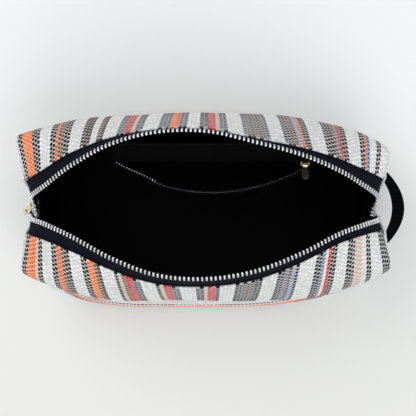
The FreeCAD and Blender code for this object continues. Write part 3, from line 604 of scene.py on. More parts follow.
def woven_material():
    """Plain weave of thick warp columns: each float is a rounded dash, and neighbouring columns alternate."""
    m = Nodes("woven_cloth")
    uv = m.add("ShaderNodeUVMap", uv_map="weave").outputs[0]
    wobble = m.noise(900.0, 2.0)
    split = m.add("ShaderNodeSeparateXYZ", {0: uv})
    u = split.outputs[0]
    v = m.math("ADD", split.outputs[1], m.math("MULTIPLY", m.math("SUBTRACT", wobble, 0.5), 0.5))
    column = m.math("FLOOR", u)
    parity = m.math("FLOORED_MODULO", column, 2.0)
    phase = m.math("ADD", m.math("MULTIPLY", v, 0.5), m.math("MULTIPLY", parity, 0.5))
    row = m.math("FLOOR", phase)
    along = m.math("FRACT", phase)
    cover = m.add("ShaderNodeAttribute", attribute_name="cover").outputs["Fac"]
    warp = m.add("ShaderNodeAttribute", attribute_name="warp").outputs["Color"]
    weft = m.add("ShaderNodeAttribute", attribute_name="weft").outputs["Color"]
    half = m.math("MULTIPLY", cover, 0.5)
    dv = m.math("DIVIDE", m.math("ABSOLUTE", m.math("SUBTRACT", along, 0.5)), half)
    du = m.math("MULTIPLY", m.math("ABSOLUTE", m.math("SUBTRACT", m.math("FRACT", u), 0.5)), 2.0)
    box = m.math("ADD", m.math("POWER", du, 4.0), m.math("POWER", dv, 4.0))
    mask = m.ramp(box, 1.25, 0.75)
    cell = m.add("ShaderNodeCombineXYZ", {0: column, 1: row}).outputs[0]
    chance = m.add("ShaderNodeTexWhiteNoise", {"Vector": cell}, noise_dimensions="2D").outputs["Value"]
    slow = m.add("ShaderNodeCombineXYZ", {0: column, 1: m.math("MULTIPLY", row, 0.22)}).outputs[0]
    drift = m.noise(1.0, 1.0, slow)
    warm = m.add("ShaderNodeHueSaturation", {
        "Hue": m.ramp(drift, -9.0, 9.6),
        "Saturation": m.math("MULTIPLY_ADD", drift, 0.6, 0.75),
        "Value": m.math("MULTIPLY_ADD", chance, 0.30, 0.86),
        "Color": warp,
    }).outputs[0]
    fibre = m.noise(5200.0, 3.0)
    colour = m.blend(mask, weft, warm)
    # Painted shade: the colour darkens once for each weft row, standing for the shade in the dips between
    # rows
    ribs = m.math("MULTIPLY_ADD", m.math("COSINE", m.math("MULTIPLY", v, math.tau)), 0.06, 0.95)
    colour = m.blend(1.0, colour, m.grey(ribs), "MULTIPLY")
    shade = m.math("MULTIPLY_ADD", fibre, 0.30, 0.86)
    colour = m.blend(1.0, colour, m.grey(shade), "MULTIPLY")
    dome = m.math("MULTIPLY", mask, m.math("SUBTRACT", 1.0, m.math("MULTIPLY", box, 0.4)))
    groove = m.math("MULTIPLY", m.math("POWER", du, 6.0), -0.6)
    height = m.math("ADD", m.math("ADD", dome, groove), m.math("MULTIPLY", fibre, 0.35))
    return m.finish(
        Base_Color=colour, Roughness=0.92, Normal=m.bump(height, 0.75, 0.00032), Sheen_Weight=0.25,
        Sheen_Roughness=0.5, Specular_IOR_Level=0.25,
    )


def dark_cloth(name, colour, pitch, twill, sheen, strength=0.5):
    """A dark, finely woven cloth: crossing threads with a slight sheen, and dusty lighter fibres."""
    m = Nodes(name)
    place = m.add("ShaderNodeTexCoord").outputs["Object"]
    waves = []
    inputs = {"Vector": place, "Scale": 1.0 / (pitch * MM) / math.tau * 0.3, "Distortion": twill}
    for direction in ("X", "Y", "Z"):
        waves.append(m.add("ShaderNodeTexWave", inputs, bands_direction=direction).outputs["Fac"])
    weave = m.math("MAXIMUM", m.math("MAXIMUM", waves[0], waves[1]), m.math("MULTIPLY", waves[2], 0.8))
    fibre = m.noise(3000.0, 3.0)
    worn = m.noise(60.0, 3.0)
    dusty = m.math("ADD", m.math("MULTIPLY", fibre, 0.6), m.math("MULTIPLY", worn, 0.4))
    tint = m.blend(m.ramp(dusty, 0.35, 0.75), linear(colour), lit(colour, 1.8, 0.0015))
    height = m.math("ADD", m.math("MULTIPLY", weave, 0.6), m.math("MULTIPLY", fibre, 0.4))
    return m.finish(
        Base_Color=tint, Roughness=m.ramp(fibre, -1.0, 1.6), Normal=m.bump(height, strength, 0.00012),
        Sheen_Weight=sheen, Sheen_Roughness=0.4, Specular_IOR_Level=0.04,
    )


def ribbed_material(name, colour, across, along, gloss):
    """Webbing and zip tape: ribs that run with the piece's own weave coordinates, in ribs and rows, with a
    painted highlight on their crests.
    """
    m = Nodes(name)
    split = m.add("ShaderNodeSeparateXYZ", {0: m.add("ShaderNodeUVMap", uv_map="weave").outputs[0]})
    u = m.math("MULTIPLY", split.outputs[0], math.tau / across)
    v = m.math("MULTIPLY", split.outputs[1], math.tau / along)
    rib = m.math("ABSOLUTE", m.math("SINE", m.math("MULTIPLY", u, 0.5)))
    slant = m.math("ADD", m.math("MULTIPLY", v, 0.5), m.math("MULTIPLY", rib, 1.4))
    chevron = m.math("ABSOLUTE", m.math("SINE", slant))
    weave = m.math("ADD", m.math("MULTIPLY", rib, 0.5), m.math("MULTIPLY", chevron, 0.5))
    fibre = m.noise(4000.0, 3.0)
    worn = m.noise(90.0, 3.0)
    dust = m.math("MULTIPLY", m.math("ADD", fibre, worn), 0.25)
    # Lighter where the weave stands highest, which is a painted highlight on its crests, and where the fibre
    # and worn noise are lighter, which is real dust
    dust_and_painted_highlight = m.math("ADD", m.math("MULTIPLY", weave, 0.5), dust)
    tint = m.blend(m.ramp(dust_and_painted_highlight, 0.35, 0.95), linear(colour), lit(colour, 1.6, 0.002))
    height = m.math("ADD", weave, m.math("MULTIPLY", fibre, 0.5))
    return m.finish(
        Base_Color=tint, Roughness=m.ramp(fibre, -1.4, 1.5), Normal=m.bump(height, 0.6, 0.00018),
        Specular_IOR_Level=gloss,
    )


def metal_material(name, colour, dull, rough):
    """Plated metal with fine scratches and duller, darker patches."""
    m = Nodes(name)
    scratches = m.add("ShaderNodeTexCoord").outputs["Object"]
    stretched = m.add("ShaderNodeMapping", {"Vector": scratches, "Scale": (1.0, 6.0, 1.0)}).outputs[0]
    fine = m.noise(1800.0, 4.0, stretched)
    patch = m.noise(220.0, 3.0)
    tint = m.blend(m.ramp(patch, 0.52, 0.85), linear(colour), linear(dull))
    return m.finish(
        Base_Color=tint, Metallic=1.0, Roughness=m.math("MULTIPLY_ADD", fine, 0.22, rough),
        Normal=m.bump(m.math("ADD", fine, patch), 0.12, 0.00005),
    )


def felt_material(name, colour):
    m = Nodes(name)
    fibre = m.noise(2600.0, 5.0)
    clump = m.noise(400.0, 3.0)
    tint = m.blend(m.math("MULTIPLY", fibre, clump), linear(colour), lit(colour, 0.75))
    return m.finish(Base_Color=tint, Roughness=0.95, Normal=m.bump(fibre, 0.8, 0.0002), Sheen_Weight=0.2)


def board_material():
    m = Nodes("stiffener_board")
    grain = m.noise(900.0, 4.0)
    tint = m.blend(grain, linear("2a2b2d"), linear("3b3c3e"))
    return m.finish(Base_Color=tint, Roughness=m.ramp(grain, -0.6, 1.4), Normal=m.bump(grain, 0.3, 0.0001))


def floor_material():
    m = Nodes("studio_floor")
    place = m.add("ShaderNodeSeparateXYZ", {0: m.add("ShaderNodeTexCoord").outputs["Object"]}).outputs[1]
    # Painted shade: the floor is darker and warmer towards the front (-y) and lighter towards the back, with
    # a faint random mottle on top
    painted_falloff_and_mottle = m.math("ADD", m.ramp(place, -0.22, 0.10), m.math("MULTIPLY", m.noise(3.0, 2.0), 0.1))
    tint = m.blend(painted_falloff_and_mottle, linear("d9d8d5"), linear("e8ebeb"))
    return m.finish(Base_Color=tint, Roughness=0.9, Specular_IOR_Level=0.1)


MATERIALS = {
    "woven": woven_material(),
    "interlining": felt_material("interlining_felt", "e8e6df"),
    "lining": dark_cloth("black_lining", "050506", 0.5, 0.4, 0.0),
    "tape": ribbed_material("zip_tape_weave", "0b0d17", 0.9, 1.1, 0.05),
    "stiffener": board_material(),
    "teeth": metal_material("nickel_teeth", "e4e5e8", "a5a6aa", 0.16),
    "gold": metal_material("pale_gold_plate", "e6d9b4", "b39a63", 0.14),
    "webbing": ribbed_material("webbing_weave", "08080b", 1.6, 2.2, 0.0),
}


def finished(obj, slot_name, *replaced):
    """Material, material slot and the CAD nodes that a piece stands for."""
    obj.data.materials.clear()
    obj.data.materials.append(MATERIALS[slot_name])
    if replaced:
        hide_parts(*replaced)
    return obj


# ---------------------------------------------------------------- shell: cloth, interlining, lining


def make_quarter(side_name, end_name):
    side, end = SIDES[side_name], ENDS[end_name]
    tag = f"{side_name}_{end_name}"
    fine = COLUMN / FACES_PER_COLUMN
    parts = [
        wall_sheet(side, end, OUTER, 0.0, fine, 0.62, relief=True),
        flap_sheet(side, end, FLAP_OUTER, fine, relief=True),
    ]
    cloth = mesh_object(f"cloth_{tag}", *joined(parts))
    colour_columns(cloth, lambda column: stripe_letter(side, column))
    finished(cloth, "woven", f"{side_name}_panel", f"{end_name}_end_panel")
    felt = mesh_object(f"interlining_{tag}", *joined([
        wall_sheet(side, end, INTERLINING, TAPE_TUCK + 0.6, FELT_STEP, FELT_STEP),
        flap_sheet(side, end, FLAP_INTERLINING, FELT_STEP, notch_edge=FLAP_INTERLINING_STOP),
    ]))
    finished(felt, "interlining", f"{side_name}_interlining", f"{end_name}_end_interlining")
    lining = mesh_object(f"lining_{tag}", *joined([
        wall_sheet(side, end, LINING, LINING_SETBACK, 2.0, 2.0),
        flap_sheet(side, end, FLAP_LINING, 2.5),
        corner_lining(side, end),
    ]))
    finished(lining, "lining", f"{side_name}_lining", f"{end_name}_end_lining")
    for piece in (cloth, felt, lining):
        ride_quarter(piece)


# ---------------------------------------------------------------- zip

slider_low, slider_high = node_box("main_slider")
FOOT_START = 73.0  # arch angle where the chain starts to twist into its foot
slider_middle = (slider_low + slider_high) / 2
CHAIN_FEET = {  # middle of the closed chain's top, and the turn of its width about the vertical
    LEFT: ((slider_middle[0] + 0.6, slider_middle[1], slider_high[2] - 1.0), 15.0),
    RIGHT: ((MOUTH_X[RIGHT] - 4.6, -4.2, 57.0), 161.0),
}
ROW_GAP = 1.7  # half of the distance between the two rows' tape edges at a foot
FOOT_TAPE_HALF = 2.7
TOOTH_PITCH = 2.5
FLAP_SHARE = 0.93  # place of a tape's hidden edge on the flap, from the corner to the notch
TURN_SPAN = 8.0  # degrees over which a tape passes from the wall to the flap
BEAD = 0.45  # how much a tape thickens under its teeth
TAPE_SINK = 1.2  # how much deeper it lies beside the notch


def foot_lateral(end):
    """Unit vector across the closed chain, from the front row to the back row."""
    turn = math.radians(CHAIN_FEET[end][1])
    return np.array([math.cos(turn), math.sin(turn), 0.0])


def foot_angle(end):
    """Arch angle at a chain foot's height."""
    return math.degrees(math.acos(1 - (RIM_TOP_Z - CHAIN_FEET[end][0][2]) / RIM_DROP))


def foot_share(end, angle):
    return smooth((np.abs(angle) - FOOT_START) / (foot_angle(end) - FOOT_START))


def rim_point(side, end, angle):
    """The teeth's line, with its foot led into the closed chain."""
    centre = np.array(CHAIN_FEET[end][0])
    target = centre + foot_lateral(end) * ROW_GAP * side
    error = target - arch_point(side, np.array(end * foot_angle(end)))
    return arch_point(side, angle) + error * foot_share(end, angle)[..., None]


def tape_back(side, end, angle):
    """The tape's hidden edge: under the wall's folded edge, then under the flap beside the notch."""
    c = np.clip(angle / CREST_ANGLE, -1, 1)
    wall = wall_point(side, c, short_of_rim(side, c, fabric_setback(side, c) + TAPE_TUCK))
    down = np.clip((np.abs(angle) - CREST_ANGLE) / (foot_angle(end) - CREST_ANGLE), 0, 1)
    flap = flap_point(end, side, np.full_like(angle, FLAP_SHARE), 0.10 + 0.62 * down)
    share = smooth((np.abs(angle) - CREST_ANGLE + 4.0) / TURN_SPAN)[..., None]
    return mix(wall, flap, share)


def chain_frames(side, end, angle):
    """Points of the rim with unit vectors along the chain, across the mouth and out of the tape."""
    point = rim_point(side, end, angle)
    chain = unit(rim_point(side, end, angle + end * 0.2) - rim_point(side, end, angle - end * 0.2))
    inward = unit(point - tape_back(side, end, angle))
    share = foot_share(end, angle)[..., None] ** 2
    inward = unit(mix(inward, -side * foot_lateral(end), share))
    inward = unit(inward - chain * np.sum(inward * chain, -1, keepdims=True))
    out = np.cross(chain, inward)
    if out[0] @ np.array([0, side, 0.8]) < 0:
        out = -out
    return point, chain, inward, out


def pitch_angles(side, end, stop):
    """Arch angles one tooth pitch apart; the two rows are half a pitch out of step."""
    angle = np.linspace(0, end * stop, 2400)
    path = rim_point(side, end, angle)
    run = np.concatenate([[0], np.cumsum(np.linalg.norm(np.diff(path, axis=0), axis=1))])
    first = TOOTH_PITCH * (0.75 if side == BACK else 0.25)
    if end == RIGHT:
        first = TOOTH_PITCH - first
    return np.interp(np.arange(first, run[-1], TOOTH_PITCH), run, angle)


def make_tape(side_name, end_name):
    side, end = SIDES[side_name], ENDS[end_name]
    angle = np.concatenate([np.linspace(0, 60, 60), np.linspace(60, foot_angle(end), 46)[1:]]) * end
    point, _, inward, _ = chain_frames(side, end, angle)
    hidden = tape_back(side, end, angle)
    s = np.array([0, 0.14, 0.28, 0.42, 0.56, 0.68, 0.78, 0.86, 0.92, 0.96, 1.0])
    edge = point + (TOOTH_SHIFT + 0.5) * inward
    grid = mix(hidden[:, None], edge[:, None], s[None, :, None])
    n = normals(grid, (0, side, 0.8))
    for i in range(1, len(n)):
        flip = np.where(np.sum(n[i] * n[i - 1], -1, keepdims=True) < 0, -1.0, 1.0)
        n[i] *= flip
    bead = BEAD * np.exp(-(((s - 0.97) / 0.05) ** 2))[None, :, None]
    sunk = smooth((np.abs(angle) - CREST_ANGLE + 6.0) / TURN_SPAN)[:, None, None]
    deeper = TAPE_SINK * sunk * (1 - s[None, :, None])
    run = np.concatenate([[0], np.cumsum(np.linalg.norm(np.diff(point, axis=0), axis=1))])
    width = np.linalg.norm(point - hidden, axis=1)
    uv = np.stack(np.broadcast_arrays(s[None, :] * width[:, None], run[:, None]), axis=-1)
    outer = grid - n * (TAPE[0] - bead + deeper)
    inner = grid - n * (TAPE[1] + bead + deeper)
    tape = mesh_object(f"zip_tape_{side_name}_{end_name}", *closed_sheet(outer, inner, uv))
    finished(tape, "tape", f"{side_name}_zip_tape", f"{end_name}_zip_tapes")
    ride_quarter(tape)


TOOTH_PROFILE = [  # along the tooth from its clamp to its head: place, half width, half thickness
    (-0.60, 0.30, 0.55), (-0.50, 0.56, 0.92), (-0.15, 0.66, 1.05), (0.45, 0.66, 1.05), (0.80, 0.54, 0.92),
    (1.10, 0.48, 0.80), (1.45, 0.60, 0.82), (1.80, 0.68, 0.84), (2.10, 0.62, 0.76), (2.30, 0.42, 0.55),
    (2.40, 0.16, 0.22),
]
TOOTH_SIDES = 12


def tooth_template():
    """Vertices in tooth axes (inward, along the chain, outward) and faces of one cast tooth."""
    around = np.linspace(0, math.tau, TOOTH_SIDES, endpoint=False)
    round_y = np.sign(np.cos(around)) * np.abs(np.cos(around)) ** 0.6
    round_z = np.sign(np.sin(around)) * np.abs(np.sin(around)) ** 0.6
    rings = []
    for place, half_width, half_thick in TOOTH_PROFILE:
        rings.append(points(np.full(TOOTH_SIDES, place), half_width * round_y, half_thick * round_z))
    faces = []
    for i in range(len(rings) - 1):
        for j in range(TOOTH_SIDES):
            k = (j + 1) % TOOTH_SIDES
            a, b = i * TOOTH_SIDES, (i + 1) * TOOTH_SIDES
            faces.append([a + j, a + k, b + k, b + j])
    faces.append(list(range(TOOTH_SIDES))[::-1])
    last = (len(rings) - 1) * TOOTH_SIDES
    faces.append(list(range(last, last + TOOTH_SIDES)))
    return np.concatenate(rings), faces


def teeth_mesh(name, point, chain, inward, out, scale=1.0):
    """One tooth at each frame, all in one mesh."""
    verts, faces = tooth_template()
    parts = []
    for p, along, across, up in zip(point, chain, inward, out):
        placed = p + scale * (verts[:, :1] * across + verts[:, 1:2] * along + verts[:, 2:] * up)
        parts.append((placed, faces, np.zeros((len(verts), 2))))
    return mesh_object(name, *joined(parts))


def make_teeth(side_name, end_name):
    side, end = SIDES[side_name], ENDS[end_name]
    angle = pitch_angles(side, end, foot_angle(end))
    point, chain, inward, out = chain_frames(side, end, angle)
    place = point + inward * TOOTH_SHIFT - out * TOOTH_DEPTH
    teeth = teeth_mesh(f"zip_teeth_{side_name}_{end_name}", place, chain, inward, out)
    finished(teeth, "teeth", f"{side_name}_zip_teeth", f"{end_name}_zip_teeth")
    ride_quarter(teeth)


def foot_path(end, steps):
    """The closed chain below its top: it untwists as it goes down into the seam across the end."""
    top = np.array(CHAIN_FEET[end][0])
    seam_x = float(end_face_x(end, 0.0, END_SEAM_Z + 1.0)) - end * 2.4
    s = np.linspace(0, 1, steps)
    x = mix(top[0], seam_x, smooth(s))
    y = mix(top[1], 0.0, smooth(s))
    path = points(x, y, mix(top[2], END_SEAM_Z + 0.4, s))
    start = math.radians(CHAIN_FEET[end][1])
    turn = mix(start, math.pi / 2, smooth(s * 1.2))
    return path, points(np.cos(turn), np.sin(turn), 0.0)


def make_foot(end_name):
    """Closed foot of the zip at one end: both tapes side by side, and its last teeth locked together."""
    end = ENDS[end_name]
    path, lateral = foot_path(end, 13)
    s = np.linspace(-FOOT_TAPE_HALF, FOOT_TAPE_HALF, 9)
    grid = path[:, None] + lateral[:, None] * s[None, :, None]
    n = normals(grid, (end, 0.3 * end, 0))
    run = np.linspace(0, np.linalg.norm(path[-1] - path[0]), len(path))
    uv = np.stack(np.broadcast_arrays(s[None, :], run[:, None]), axis=-1)
    tape = mesh_object(f"zip_foot_tape_{end_name}", *closed_sheet(grid - n * 0.25, grid + n * 0.25, uv))
    finished(tape, "tape", f"{end_name}_zip_tail")
    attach(tape, "shell")
    fine_path, fine_lateral = foot_path(end, 60)
    run = np.concatenate([[0], np.cumsum(np.linalg.norm(np.diff(fine_path, axis=0), axis=1))])
    rows = []
    for row, offset in ((FRONT, 0.4), (BACK, 0.4 + TOOTH_PITCH / 2)):
        for place in np.arange(offset, run[-1] - 2.5, TOOTH_PITCH):
            i = int(np.searchsorted(run, place))
            along = unit(fine_path[min(i + 1, 59)] - fine_path[max(i - 1, 0)])
            across = -row * fine_lateral[i]
            rows.append((fine_path[i] - across * 1.7, along, across, np.cross(along, across)))
    if rows:
        teeth = teeth_mesh(f"zip_foot_teeth_{end_name}", *zip(*rows))
        finished(teeth, "teeth")
        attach(teeth, "shell")


# ---------------------------------------------------------------- base


def outline(inset, steps=46):
    """The base's plan as a closed loop of points with their outward directions."""
    x_end = BASE_X - inset
    straight = x_end - BASE_CORNER
    x = np.linspace(-straight, straight, 2 * steps)
    turn = np.linspace(0, math.pi / 2, 8)[1:]
    rise = BASE_CORNER * (1 - np.cos(turn))
    loops = []
    for side, end in ((FRONT, RIGHT), (BACK, LEFT)):
        edge = np.stack([x, side * (base_half_width(side, x) - inset)], axis=-1)[:: -side]
        near = edge[-1][1]
        far = -side * (float(base_half_width(-side, np.array(end * straight))) - inset)
        arc_x = end * (straight + BASE_CORNER * np.sin(turn))
        line = np.linspace(near - side * BASE_CORNER, far + side * BASE_CORNER, 24)[1:-1]
        loops.append(edge)
        loops.append(np.stack([arc_x, near - side * rise], axis=-1))
        loops.append(np.stack([np.full_like(line, end * x_end), line], axis=-1))
        loops.append(np.stack([arc_x, far + side * rise], axis=-1)[::-1])
    loop = np.concatenate(loops)
    tangent = unit(np.roll(loop, -1, axis=0) - np.roll(loop, 1, axis=0))
    return loop, np.stack([tangent[:, 1], -tangent[:, 0]], axis=-1)


def base_profile(depth, above_seam):
    """Inset, height and arc length of the base's side, from its foot up past the seam."""
    slope = SEAM_INSET / (BASE_SEAM_Z - BASE_WIDEST_Z)
    foot = [(BASE_FOOT_INSET * (1 - s) ** 2, BASE_WIDEST_Z * s) for s in np.linspace(0, 1, 8)]
    heights = np.linspace(1.2, BASE_SEAM_Z - BASE_WIDEST_Z + above_seam, 16)
    stops = np.array(foot + [(slope * h, BASE_WIDEST_Z + h) for h in heights])
    run = np.concatenate([[0], np.cumsum(np.linalg.norm(np.diff(stops, axis=0), axis=1))])
    tangent = unit(np.gradient(stops, axis=0))
    inward = np.stack([tangent[:, 1], -tangent[:, 0]], axis=-1)
    moved = stops + inward * depth
    moved[:, 1] = np.maximum(moved[:, 1], depth)
    return moved, run


def base_shell(depths, with_relief, above_seam=-0.7):
    """Tray of one layer: its underside drawn in to the middle, and its turned-up side."""
    loop, outward = outline(0.0)
    count = len(loop)
    stops, run = base_profile(depths[0], above_seam)
    inner_stops = base_profile(depths[1], above_seam)[0]

    def ring(inset, z):
        return np.concatenate([loop - outward * inset, np.full((count, 1), z)], axis=1)

    shares = (0.0, 0.25, 0.5, 0.75, 0.92)
    outer = [ring(0, depths[0]) * [[f, f, 1]] for f in shares]
    inner = [ring(0, depths[1]) * [[f, f, 1]] for f in shares]
    uv = [np.stack([(loop * f)[:, 1], (loop * f)[:, 0]], axis=-1) for f in shares]
    for (inset, z), (inner_inset, inner_z), rise in zip(stops, inner_stops, run):
        outer.append(ring(inset, z))
        inner.append(ring(inner_inset, inner_z))
        flat = loop - outward * BASE_FOOT_INSET
        uv.append(np.stack([flat[:, 1] + outward[:, 1] * rise, flat[:, 0] + outward[:, 0] * rise], axis=-1))
    outer, inner = np.stack(outer, axis=1), np.stack(inner, axis=1)
    uv = np.stack(uv, axis=1) / [COLUMN, ROW]
    if with_relief:
        closed = np.concatenate([outer, outer[:1]])
        n = normals(closed, (0, 0, 1))[:-1]
        away = np.sum(n[:, -1, :2] * outward, -1)
        n *= np.where(away < 0, -1.0, 1.0)[:, None, None]
        outer = outer + n * weave_relief(uv[..., 0], uv[..., 1])[..., None]
    return tray_mesh(outer, inner, uv)


def tray_mesh(outer, inner, uv):
    """A closed skin from nested rings: the first ring of each face collapses to one middle point."""
    count = len(outer)
    grid = np.concatenate([outer, inner[:, ::-1]], axis=1)[:, 1:-1]
    grid_uv = np.concatenate([uv, uv[:, ::-1]], axis=1)[:, 1:-1]
    columns = grid.shape[1]
    index = np.arange(count * columns).reshape(count, columns)
    after = np.roll(index, -1, axis=0)
    quads = np.stack([index[:, :-1], after[:, :-1], after[:, 1:], index[:, 1:]], axis=-1)
    faces = quads.reshape(-1, 4).tolist()
    middle, top = count * columns, count * columns + 1
    for i in range(count):
        j = (i + 1) % count
        faces.append([int(index[i, 0]), int(index[j, 0]), middle])
        faces.append([int(index[j, -1]), int(index[i, -1]), top])
    verts = np.concatenate([grid.reshape(-1, 3), [outer[0, 0], inner[0, 0]]])
    uvs = np.concatenate([grid_uv.reshape(-1, 2), [[0, 0], [0, 0]]])
    return verts, faces, uvs


def lower_end_sheet(end, depths, step, with_relief, top=END_SEAM_Z):
    """The base's turned-up end, from the base seam to the seam across the end."""
    a = np.linspace(-0.02, 1.02, int(78 / step))
    z = np.linspace(BASE_SEAM_Z - 1.5, top, int(27 / step))
    front = -corner_y(end, FRONT, z)
    back = corner_y(end, BACK, z)
    y = mix(front[None, :], back[None, :], a[:, None])
    grid = points(end_face_x(end, y, z[None, :]), y, np.broadcast_to(z[None, :], y.shape))
    n = normals(grid, (end, 0, 0))
    uv = np.stack([y / COLUMN, np.broadcast_to(z[None, :] / ROW, y.shape)], axis=-1)
    outer = grid - n * depths[0]
    if with_relief:
        outer = outer + n * weave_relief(uv[..., 0], uv[..., 1])[..., None]
    return closed_sheet(outer, grid - n * depths[1], uv)


BASE_STRIPES = "okkwwwwwwwwkksbkkwwww"  # from the widest line of each long side inward over the underside
BASE_EDGES = {FRONT: "owkwwwwwwwww", BACK: "wwkwwwwwwwww"}  # from the widest line up to the seam


def base_letter(column):
    """Stripes of the base run lengthwise; the first letters lie along its widest line and up to the seam."""
    side = BACK if column >= 0 else FRONT
    edge = (BASE_MID_Y[side] - BASE_FOOT_INSET + 6.0) / COLUMN
    above = abs(column + 0.5) - edge
    if above >= 0:
        return BASE_EDGES[side][min(int(above), len(BASE_EDGES[side]) - 1)]
    return BASE_STRIPES[int(-above) % len(BASE_STRIPES)]


def make_base():
    parts = [base_shell(OUTER, True)]
    for end in (LEFT, RIGHT):
        parts.append(lower_end_sheet(end, OUTER, 0.9, True))
    cloth = mesh_object("cloth_base", *joined(parts))
    colour_columns(cloth, base_letter)
    finished(cloth, "woven", "base_panel")
    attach(cloth, "shell")
    parts = [base_shell(LINING, False, 3.0)]
    for end in (LEFT, RIGHT):
        parts.append(lower_end_sheet(end, LINING, 3.0, False, END_SEAM_Z + 5.0))
    lining = mesh_object("lining_base", *joined(parts))
    finished(lining, "lining", "base_lining")
    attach(lining, "shell")


BOARD = (1.5, 3.0)  # heights of the stiffener's underside and top, between the cloth and the lining
BOARD_INSET = 6.0  # from the base's widest line in to the board's edge
BOARD_ROUND = 0.4


def make_board():
    """Stiffener board in the base, with softened edges."""
    loop, outward = outline(BOARD_INSET)

    def ring(inset, z):
        return np.concatenate([loop - outward * inset, np.full((len(loop), 1), z)], axis=1)

    faces = []
    for height, way in zip(BOARD, (1, -1)):
        edge = ring(BOARD_ROUND, height)
        faces.append(np.stack([edge * [0, 0, 1], edge, ring(0.0, height + way * BOARD_ROUND)], axis=1))
    board = mesh_object("stiffener_board", *tray_mesh(*faces, faces[0][..., :2]))
    finished(board, "stiffener", "base_stiffener")
    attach(board, "shell")


# ---------------------------------------------------------------- inner pocket

pocket_low, pocket_high = node_box("pocket_zip_tapes")
slider_box = node_box("pocket_slider")
POCKET_MID_X = (pocket_low[0] + pocket_high[0]) / 2
POCKET_HALF_X = (pocket_high[0] - pocket_low[0]) / 2
POCKET_Y = (slider_box[0][1] + slider_box[1][1]) / 2
POCKET_Z = (slider_box[0][2] + slider_box[1][2]) / 2
POCKET_SAG = 17.0
POCKET_TOP = (37.0, 84.0)
POCKET_FOOT = (47.0, 24.0)


def pocket_lip(x, sag):
    """The pocket zip's line: straight above, hanging forward below."""
    hang = sag * (1 - (x / POCKET_HALF_X) ** 2)
    return points(POCKET_MID_X + x, POCKET_Y - hang, POCKET_Z - 0.35 * hang)


def ripple(x, v, seed):
    """Small folds of slack cloth, fading out at its sewn edges."""
    waves = np.sin(x / 6.1 + seed) * np.sin(x / 15.0 + 2.0 * v + seed)
    waves = waves + 0.6 * np.sin(x / 3.7 + 5 * v + seed * 2)
    return waves * np.sin(np.pi * np.clip(v, 0, 1))


def cloth_strip(name, upper, lower, bulge, rows, thick, slot_name, folds=0.0, *nodes):
    """Thin cloth between two lines of points; it hangs forward by bulge, with small folds."""
    v = np.linspace(0, 1, rows)
    grid = mix(upper[:, None], lower[:, None], v[None, :, None])
    x = grid[..., 0]
    grid[..., 1] -= bulge * np.sin(np.pi * v)[None, :] - folds * ripple(x, v[None, :], bulge)
    n = normals(grid, (0, -1, 0.2))
    run = np.linalg.norm(np.diff(grid, axis=1), axis=-1)
    run = np.concatenate([np.zeros((len(grid), 1)), np.cumsum(run, axis=1)], axis=1)
    uv = np.stack([run, x], axis=-1)
    strip = mesh_object(name, *closed_sheet(grid + n * thick / 2, grid - n * thick / 2, uv))
    finished(strip, slot_name, *nodes)
    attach(strip, "back_wall")


def make_pocket():
    x = np.linspace(-POCKET_HALF_X, POCKET_HALF_X, 115)
    one = np.ones_like(x)
    top = points(POCKET_MID_X + x * 0.94, POCKET_TOP[0] * one, POCKET_TOP[1] * one)
    foot = points(POCKET_MID_X + x * 0.94, POCKET_FOOT[0] * one, POCKET_FOOT[1] * one)
    upper_teeth = pocket_lip(x, 0.0) + [0, 0, 1.9]
    upper_edge = pocket_lip(x, 0.0) + [0, 1.2, 1.9 + 3.4]
    roll = smooth((x + 42.0) / 12.0)[:, None]  # the lip's teeth turn from face-up to face-back
    teeth_way = unit(mix(np.array([[0, 0.15, 1.0]]), np.array([[0, 0.9, -0.55]]), roll))
    lip = pocket_lip(x, POCKET_SAG) + [0, 0, -1.9]
    lip_edge = lip + unit(mix(np.array([[0, -0.25, -1.0]]), np.array([[0, -0.85, -0.6]]), roll)) * 3.4
    panel_edge = lip_edge + [0, 0.2, -2.6]
    tuck = roll * [0, -2.4, -4.0]  # away from its left end the lower row lies hidden behind the fold
    lip = lip + tuck
    facing_foot = upper_edge + [0, -2.6, 0.9]
    tape_top = upper_edge + [0, -1.2, 0]
    fold_top = lip_edge + [0, -0.5, 0.7]
    cloth_strip("pocket_facing_cloth", top, facing_foot, 0.8, 12, 0.6, "lining", 0.25, "pocket_facing")
    cloth_strip("pocket_tape_upper", tape_top, upper_teeth, 0.0, 6, 0.5, "tape", 0.0, "pocket_zip_tapes")
    cloth_strip("pocket_tape_lower", lip, lip_edge, 0.3, 6, 0.5, "tape", 0.0, "pocket_zip_tapes")
    cloth_strip("pocket_lip_fold", fold_top, panel_edge, 0.5, 8, 0.7, "lining", 0.0, "pocket_panel")
    cloth_strip("pocket_panel_cloth", panel_edge, foot, 4.5, 30, 0.6, "lining", 0.9, "pocket_panel")
    pitch = TOOTH_PITCH * 0.6
    places = np.arange(-POCKET_HALF_X + 2.0, POCKET_HALF_X - 2.0, pitch)
    for name, sag, way in (("upper", 0.0, None), ("lower", POCKET_SAG, teeth_way)):
        shift = 0.0 if way is None else pitch / 2
        spots = places + shift
        p = pocket_lip(spots, sag) + [0, 0, 1.9 if way is None else -1.9]
        if way is not None:
            p = p + np.stack([np.interp(spots, x, tuck[:, i]) for i in range(3)], axis=-1)
        along = unit(pocket_lip(spots + 0.1, sag) - pocket_lip(spots - 0.1, sag))
        if way is None:
            inward = np.tile([[0.0, 0.0, -1.0]], (len(spots), 1))
        else:
            inward = unit(np.stack([np.interp(spots, x, way[:, i]) for i in range(3)], axis=-1))
        inward = unit(inward - along * np.sum(inward * along, -1, keepdims=True))
        teeth = teeth_mesh(f"pocket_teeth_{name}_row", p, along, inward, np.cross(along, inward), 0.55)
        finished(teeth, "teeth", f"pocket_teeth_{name}")
        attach(teeth, "back_wall")


# ---------------------------------------------------------------- side handle

